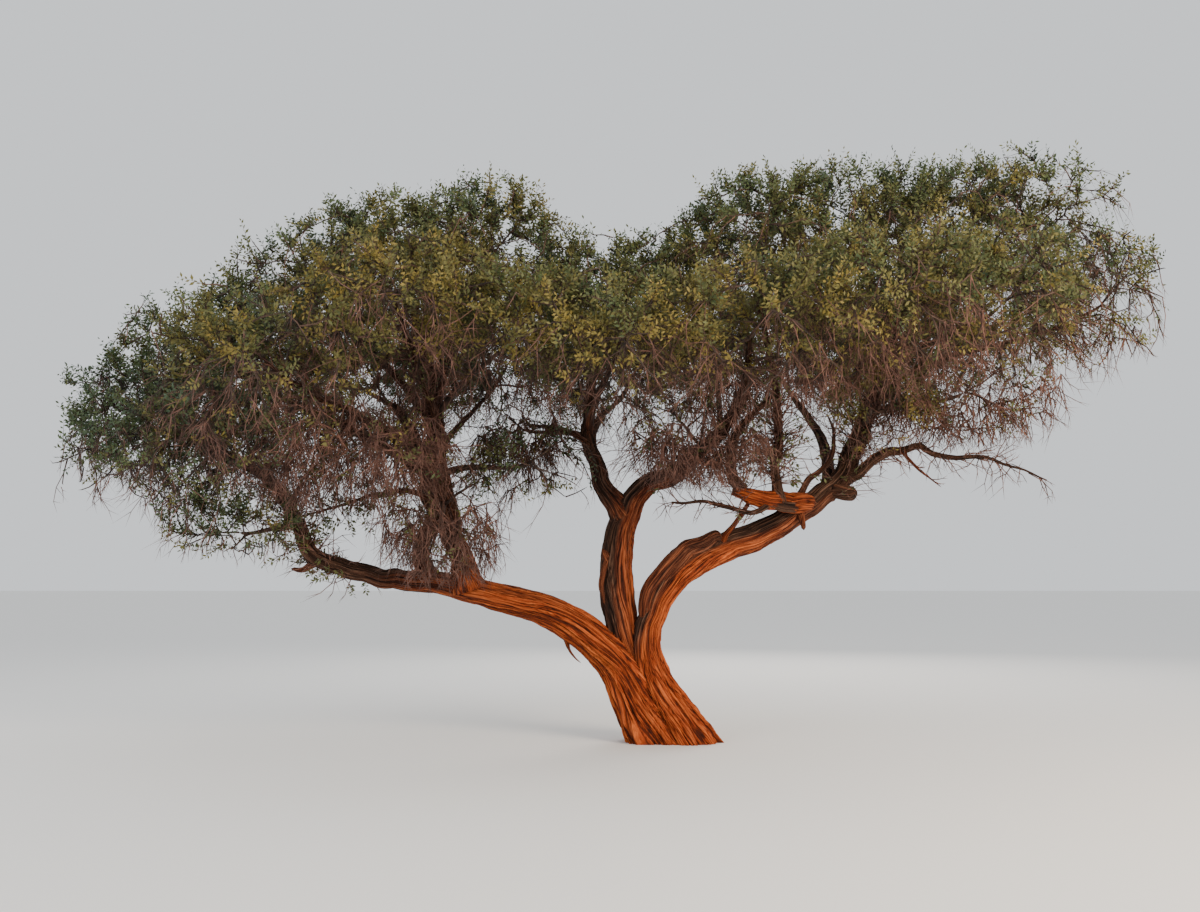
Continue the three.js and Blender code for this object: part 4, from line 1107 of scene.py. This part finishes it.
# The bark's colours near the ground and above, from the furrows to the ridges. The near-ground colours are
# partly painted sunlight, the near-black furrow stops partly painted shade and the brightest ridge stops
# partly a painted highlight.
WARM_BARK = ((0.12, (0.014, 0.004, 0.002)), (0.3, (0.1, 0.016, 0.004)),
             (0.52, (0.31, 0.05, 0.01)), (0.95, (0.58, 0.135, 0.03)))
COOL_BARK = ((0.15, (0.006, 0.003, 0.002)), (0.36, (0.034, 0.016, 0.01)),
             (0.64, (0.085, 0.041, 0.025)), (0.95, (0.18, 0.096, 0.062)))
LIVE_TWIG = ((0.35, (0.022, 0.012, 0.008)), (0.65, (0.1, 0.055, 0.038)))
DEAD_TWIG = ((0.35, (0.055, 0.022, 0.014)), (0.65, (0.22, 0.105, 0.076)))
FLOOR = (0.82, 0.81, 0.79, 1)
SKY = (0.9, 0.93, 0.96, 1)


def bark_material():
    """Furrowed bark: orange near the ground and grey-brown above, dark in the furrows. The orange and its
    fade hold painted sunlight and painted shade, the furrows' near-black is partly painted shade and the
    brightest ridges partly a painted highlight.
    """
    n = Nodes("acacia_bark")
    furrow = n.add("Attribute", attribute_name="furrow").outputs["Fac"]
    warmth = n.add("Attribute", attribute_name="warmth").outputs["Fac"]
    grain = n.add("Attribute", attribute_name="grain").outputs["Vector"]
    fibre = n.noise(n.stretch(grain, 4), 2.4, Detail=8.0, Roughness=0.75)
    patch = n.noise(grain, 0.55, Detail=3.0)
    strips = n.noise(n.stretch(grain, 0.7), 1.25, Detail=3.0, Distortion=0.3)
    crack = n.times(n.maths("ABSOLUTE", n.plus(strips, -0.5), 0), 13.0, clamp=True)
    cord = n.plus(n.times(furrow, 0.75), 0.25)
    rough = n.plus(cord, n.times(n.plus(fibre, -0.5), 1.7), clamp=True)
    worn = n.times(rough, n.plus(n.times(patch, 1.2), 0.38))
    level = n.times(worn, n.plus(n.times(crack, 0.7), 0.3), clamp=True)
    # How orange the bark is: the warmth, with its painted sunlight and painted shade, and patches of the
    # bark's own colour.
    share = n.plus(warmth, n.times(n.plus(patch, -0.5), 0.9), clamp=True)
    # By level, from the furrows to the ridges: the near-black of the furrows is partly painted shade and the
    # brightest ridge tops partly a painted highlight.
    colours = {0: share, 6: n.ramp(level, COOL_BARK), 7: n.ramp(level, WARM_BARK)}
    n.set(n.inputs["Base Color"], n.add("Mix", colours, data_type="RGBA").outputs[2])
    n.set(n.inputs["Roughness"], 0.92)
    n.set(n.inputs["Specular IOR Level"], 0.2)
    bump = n.add("Bump", {"Strength": 0.9, "Distance": 0.02, "Height": level})
    n.set(n.inputs["Normal"], bump.outputs[0])
    return n.material


def twig_material(name, colours):
    """Thin bark, mottled between two colours."""
    n = Nodes(name)
    mottle = n.noise(n.add("TexCoord").outputs["Object"], 9.0, Detail=3.0)
    n.set(n.inputs["Base Color"], n.ramp(mottle, colours))
    n.set(n.inputs["Roughness"], 0.85)
    return n.material


def leaf_material(name, colour):
    """One tint of leaf, matt with a slight unevenness in its gloss."""
    n = Nodes(name)
    uneven = n.noise(n.add("TexCoord").outputs["Object"], 40.0)
    n.set(n.inputs["Base Color"], (*colour, 1))
    n.set(n.inputs["Roughness"], n.plus(0.45, n.times(uneven, 0.3)))
    n.set(n.inputs["Specular IOR Level"], 0.3)
    return n.material


def tint_of(mass, shoots, rng):
    """Which tint each spray has: by its mass, by how far it stands out, and by chance. Its mass's share and
    how far it stands out are partly painted light, more golden toward the front and lower down, bluer-green
    higher up.
    """
    tip = shoots[:, 2]
    height = ((tip - mass.centre) / mass.half)[:, 2]
    patches = noise(tip / GOLDEN.patch_size, SEEDS.tint)
    # Painted warm light: sprays toward the front are made more golden; higher sprays in a mass are made less
    # golden, as painted skylight.
    front = smooth_step(0.5, -2.2, tip[:, 1])
    golden = GOLDEN.least + GOLDEN.mass * mass.gold + GOLDEN.patch * patches
    golden += GOLDEN.front * (front - 0.5) - GOLDEN.height * height + rng.normal(0, GOLDEN.chance, len(tip))
    return np.searchsorted(TINT_STEPS, golden)


def grow_crown():
    """Everything that grows in the masses, sorted by kind: lines, twigs with shoots, and sprays by tint."""
    grown = dict(branches=[], stems=[], twigs={}, bare_twigs={}, strands={}, spare=[])
    grown["sprays"] = [[] for tint in TINTS]
    for mass in masses:
        rng = np.random.default_rng(SEEDS.mass + mass.index)
        twigs = grow_twigs(mass)
        fine_twigs = grow_fine_twigs(mass, twigs, rng)
        shoots, leafy = grow_shoots(mass, [*fine_twigs, *twigs], rng)
        if mass.stand == "stem":
            grown["stems"].append(mass.line)
        grown["branches"].extend(twigs)
        lobe = "left" if mass.centre[0] < -1 else "right"
        kind = "bare_twigs" if mass.kind == "bare" else "twigs"
        grown[kind].setdefault(lobe, []).append((fine_twigs, shoots))
        grown["strands"].setdefault(lobe, []).append(grow_strands(mass, [*fine_twigs, *twigs], rng))
        tints = tint_of(mass, shoots, rng)
        for tint, sprays in enumerate(grown["sprays"]):
            sprays.append((mass.name, shoots[leafy & (tints == tint)]))
    rng = np.random.default_rng(SEED + 1)
    for name, given in SPARE_TWIGS.items():
        paths, sides, in_leaf = grow_spare_twigs(lines[name], *given, rng)
        grown["spare"].append((paths, sides))
        middle = sides[in_leaf].mean(axis=1, keepdims=True)
        sprays = np.concatenate([sides[in_leaf][:, :1], middle, sides[in_leaf][:, 1:]], axis=1)
        grown["sprays"][SPARE_TINT].append((None, sprays))
    return grown


def sampled(curves, rings):
    """Even points and radii along each of many lines."""
    share = np.linspace(0, 1, rings)
    paths = np.array([curve.point(share * curve.last) for curve in curves])
    radii = np.array([curve.radius(share * curve.last) for curve in curves])
    return paths, radii


def wavered(paths, size, seed):
    """Paths with small bends, as wood has, held at their start."""
    flat = paths.reshape(-1, 3)
    shift = np.stack([noise(flat / 0.17, seed + i) for i in range(3)], axis=1).reshape(paths.shape)
    hold = np.minimum(1, np.arange(paths.shape[1]) / 2)[None, :, None]
    return paths + size * shift * hold


def merged(parts):
    """Several meshes' corners and triangles as one."""
    offset, corners, faces = 0, [], []
    for points, triangles in parts:
        corners.append(points)
        faces.append(triangles + offset)
        offset += len(points)
    return np.concatenate(corners), np.concatenate(faces)


def straight_tubes(paths, *radii):
    """Thin tubes of three sides, all with the same radii, which end in a point."""
    return tubes(paths, np.tile((*radii, 0.0), (len(paths), 1)), 3)


def fine_tubes(grown):
    """The finer twigs and the shoots of some masses as one mesh."""
    twigs = [twig for fine_twigs, shoots in grown for twig in fine_twigs]
    paths, radii = sampled(twigs, 4)
    ends = np.concatenate([shoots[:, ::2] for fine_twigs, shoots in grown])
    paths = wavered(paths, FINE_TWIG.waver, SEEDS.fine_twigs)
    return merged([tubes(paths, radii, 3), straight_tubes(ends, SHOOT.radius)])


def strand_tubes(grown, radius):
    """Crooked bare twigs and their side twigs as one mesh."""
    paths, sides = (np.concatenate(kind) for kind in zip(*grown))
    thinner, thin = (radius * share for share in STRAND.later_radii)
    return merged([straight_tubes(paths, radius, thinner, thin), straight_tubes(sides, thin)])


def build_tree():
    """The bark, and then all that grows in the crown, each kind as its own pieces."""
    parts = bark_tubes()
    bark = joined(parts, "wood")
    carry_over(bark, parts)
    bark.shade_smooth()
    limb_nodes = [name for name in frame["nodes"] if name not in MASSES]
    add_piece("trunk_and_boughs", bark, bark_material(), "bark", limb_nodes)

    grown = grow_crown()
    leafy_nodes = [mass.name for mass in masses if mass.kind != "bare"]
    bare_nodes = [mass.name for mass in masses if mass.kind == "bare"]
    live = twig_material("twig_bark", LIVE_TWIG), "foliage", leafy_nodes
    dead = twig_material("dead_twig_bark", DEAD_TWIG), "bare_twigs", bare_nodes

    def add(name, shape, looks):
        add_piece(name, mesh_of(name, *shape), *looks)

    paths, radii = sampled(grown["branches"], 9)
    paths = wavered(paths, BRANCH_WAVER, SEEDS.branches)
    stems, stem_radii = sampled(grown["stems"], 16)
    add("branches", merged([tubes(paths, radii, 5), tubes(stems, stem_radii, 8)]), live)
    for kind, looks in (("twigs", live), ("bare_twigs", dead)):
        for lobe, parts in grown[kind].items():
            add(f"{lobe}_{kind}", fine_tubes(parts), looks)
    add("spare_twigs", strand_tubes(grown["spare"], SPARE.radius), dead)
    for lobe, parts in grown["strands"].items():
        add(lobe + "_strands", strand_tubes(parts, STRAND.radius), dead)
    rng = np.random.default_rng(SEED)
    for (tint, colour), sprays in zip(TINTS.items(), grown["sprays"]):
        nodes = [name for name, shoots in sprays if len(shoots) and name in leafy_nodes]
        shape = leaflets(np.concatenate([shoots for name, shoots in sprays]), rng)
        add(tint + "_leaves", shape, (leaf_material(tint + "_leaf", colour), "foliage", nodes))


# The photograph's view: a 35 mm lens at eye height, 12 m from the trunk, tipped up a little by degrees.
EYE = (-0.677, -12.05, 1.6)
PITCH = 6.164
LENS = 35
SENSOR = 36
CLIP_END = 500

# Each light: its size, power, colour and place. All point at the crown.
LIGHTS = {
    "key": (7, 2600, (1.0, 0.82, 0.62), (9, -11, 6.5)),
    "fill": (9, 700, (0.85, 0.92, 1.0), (-12, -8, 7)),
    "rim": (8, 900, (1.0, 0.93, 0.85), (3, 12, 9)),
}
LIT = (-0.5, 0, 2.8)
FLOOR_SIZE = 400


def build_stage():
    """A plain pale floor, soft studio light and the camera."""
    n = Nodes("pale_floor")
    n.set(n.inputs["Base Color"], FLOOR)
    n.set(n.inputs["Roughness"], 0.9)
    bpy.ops.mesh.primitive_plane_add(size=FLOOR_SIZE)
    floor = bpy.context.object
    floor.name = "floor"
    floor.data.materials.append(n.material)
    world = bpy.data.worlds.new("studio")
    world.use_nodes = True
    world.node_tree.nodes["Background"].inputs["Color"].default_value = SKY
    bpy.context.scene.world = world
    for name, (size, power, colour, place) in LIGHTS.items():
        light = bpy.data.lights.new(name, "AREA")
        light.size, light.energy, light.color = size, power, colour
        made = bpy.data.objects.new(name, light)
        made.location = place
        made.rotation_euler = (Vector(LIT) - Vector(place)).to_track_quat("-Z", "Y").to_euler()
        bpy.context.scene.collection.objects.link(made)
    camera = bpy.data.cameras.new("camera")
    camera.lens, camera.sensor_width, camera.clip_end = LENS, SENSOR, CLIP_END
    made = bpy.data.objects.new("camera", camera)
    made.location = EYE
    made.rotation_euler = (math.radians(90 + PITCH), 0, 0)
    bpy.context.scene.collection.objects.link(made)
    bpy.context.scene.camera = made


build_tree()
build_stage()
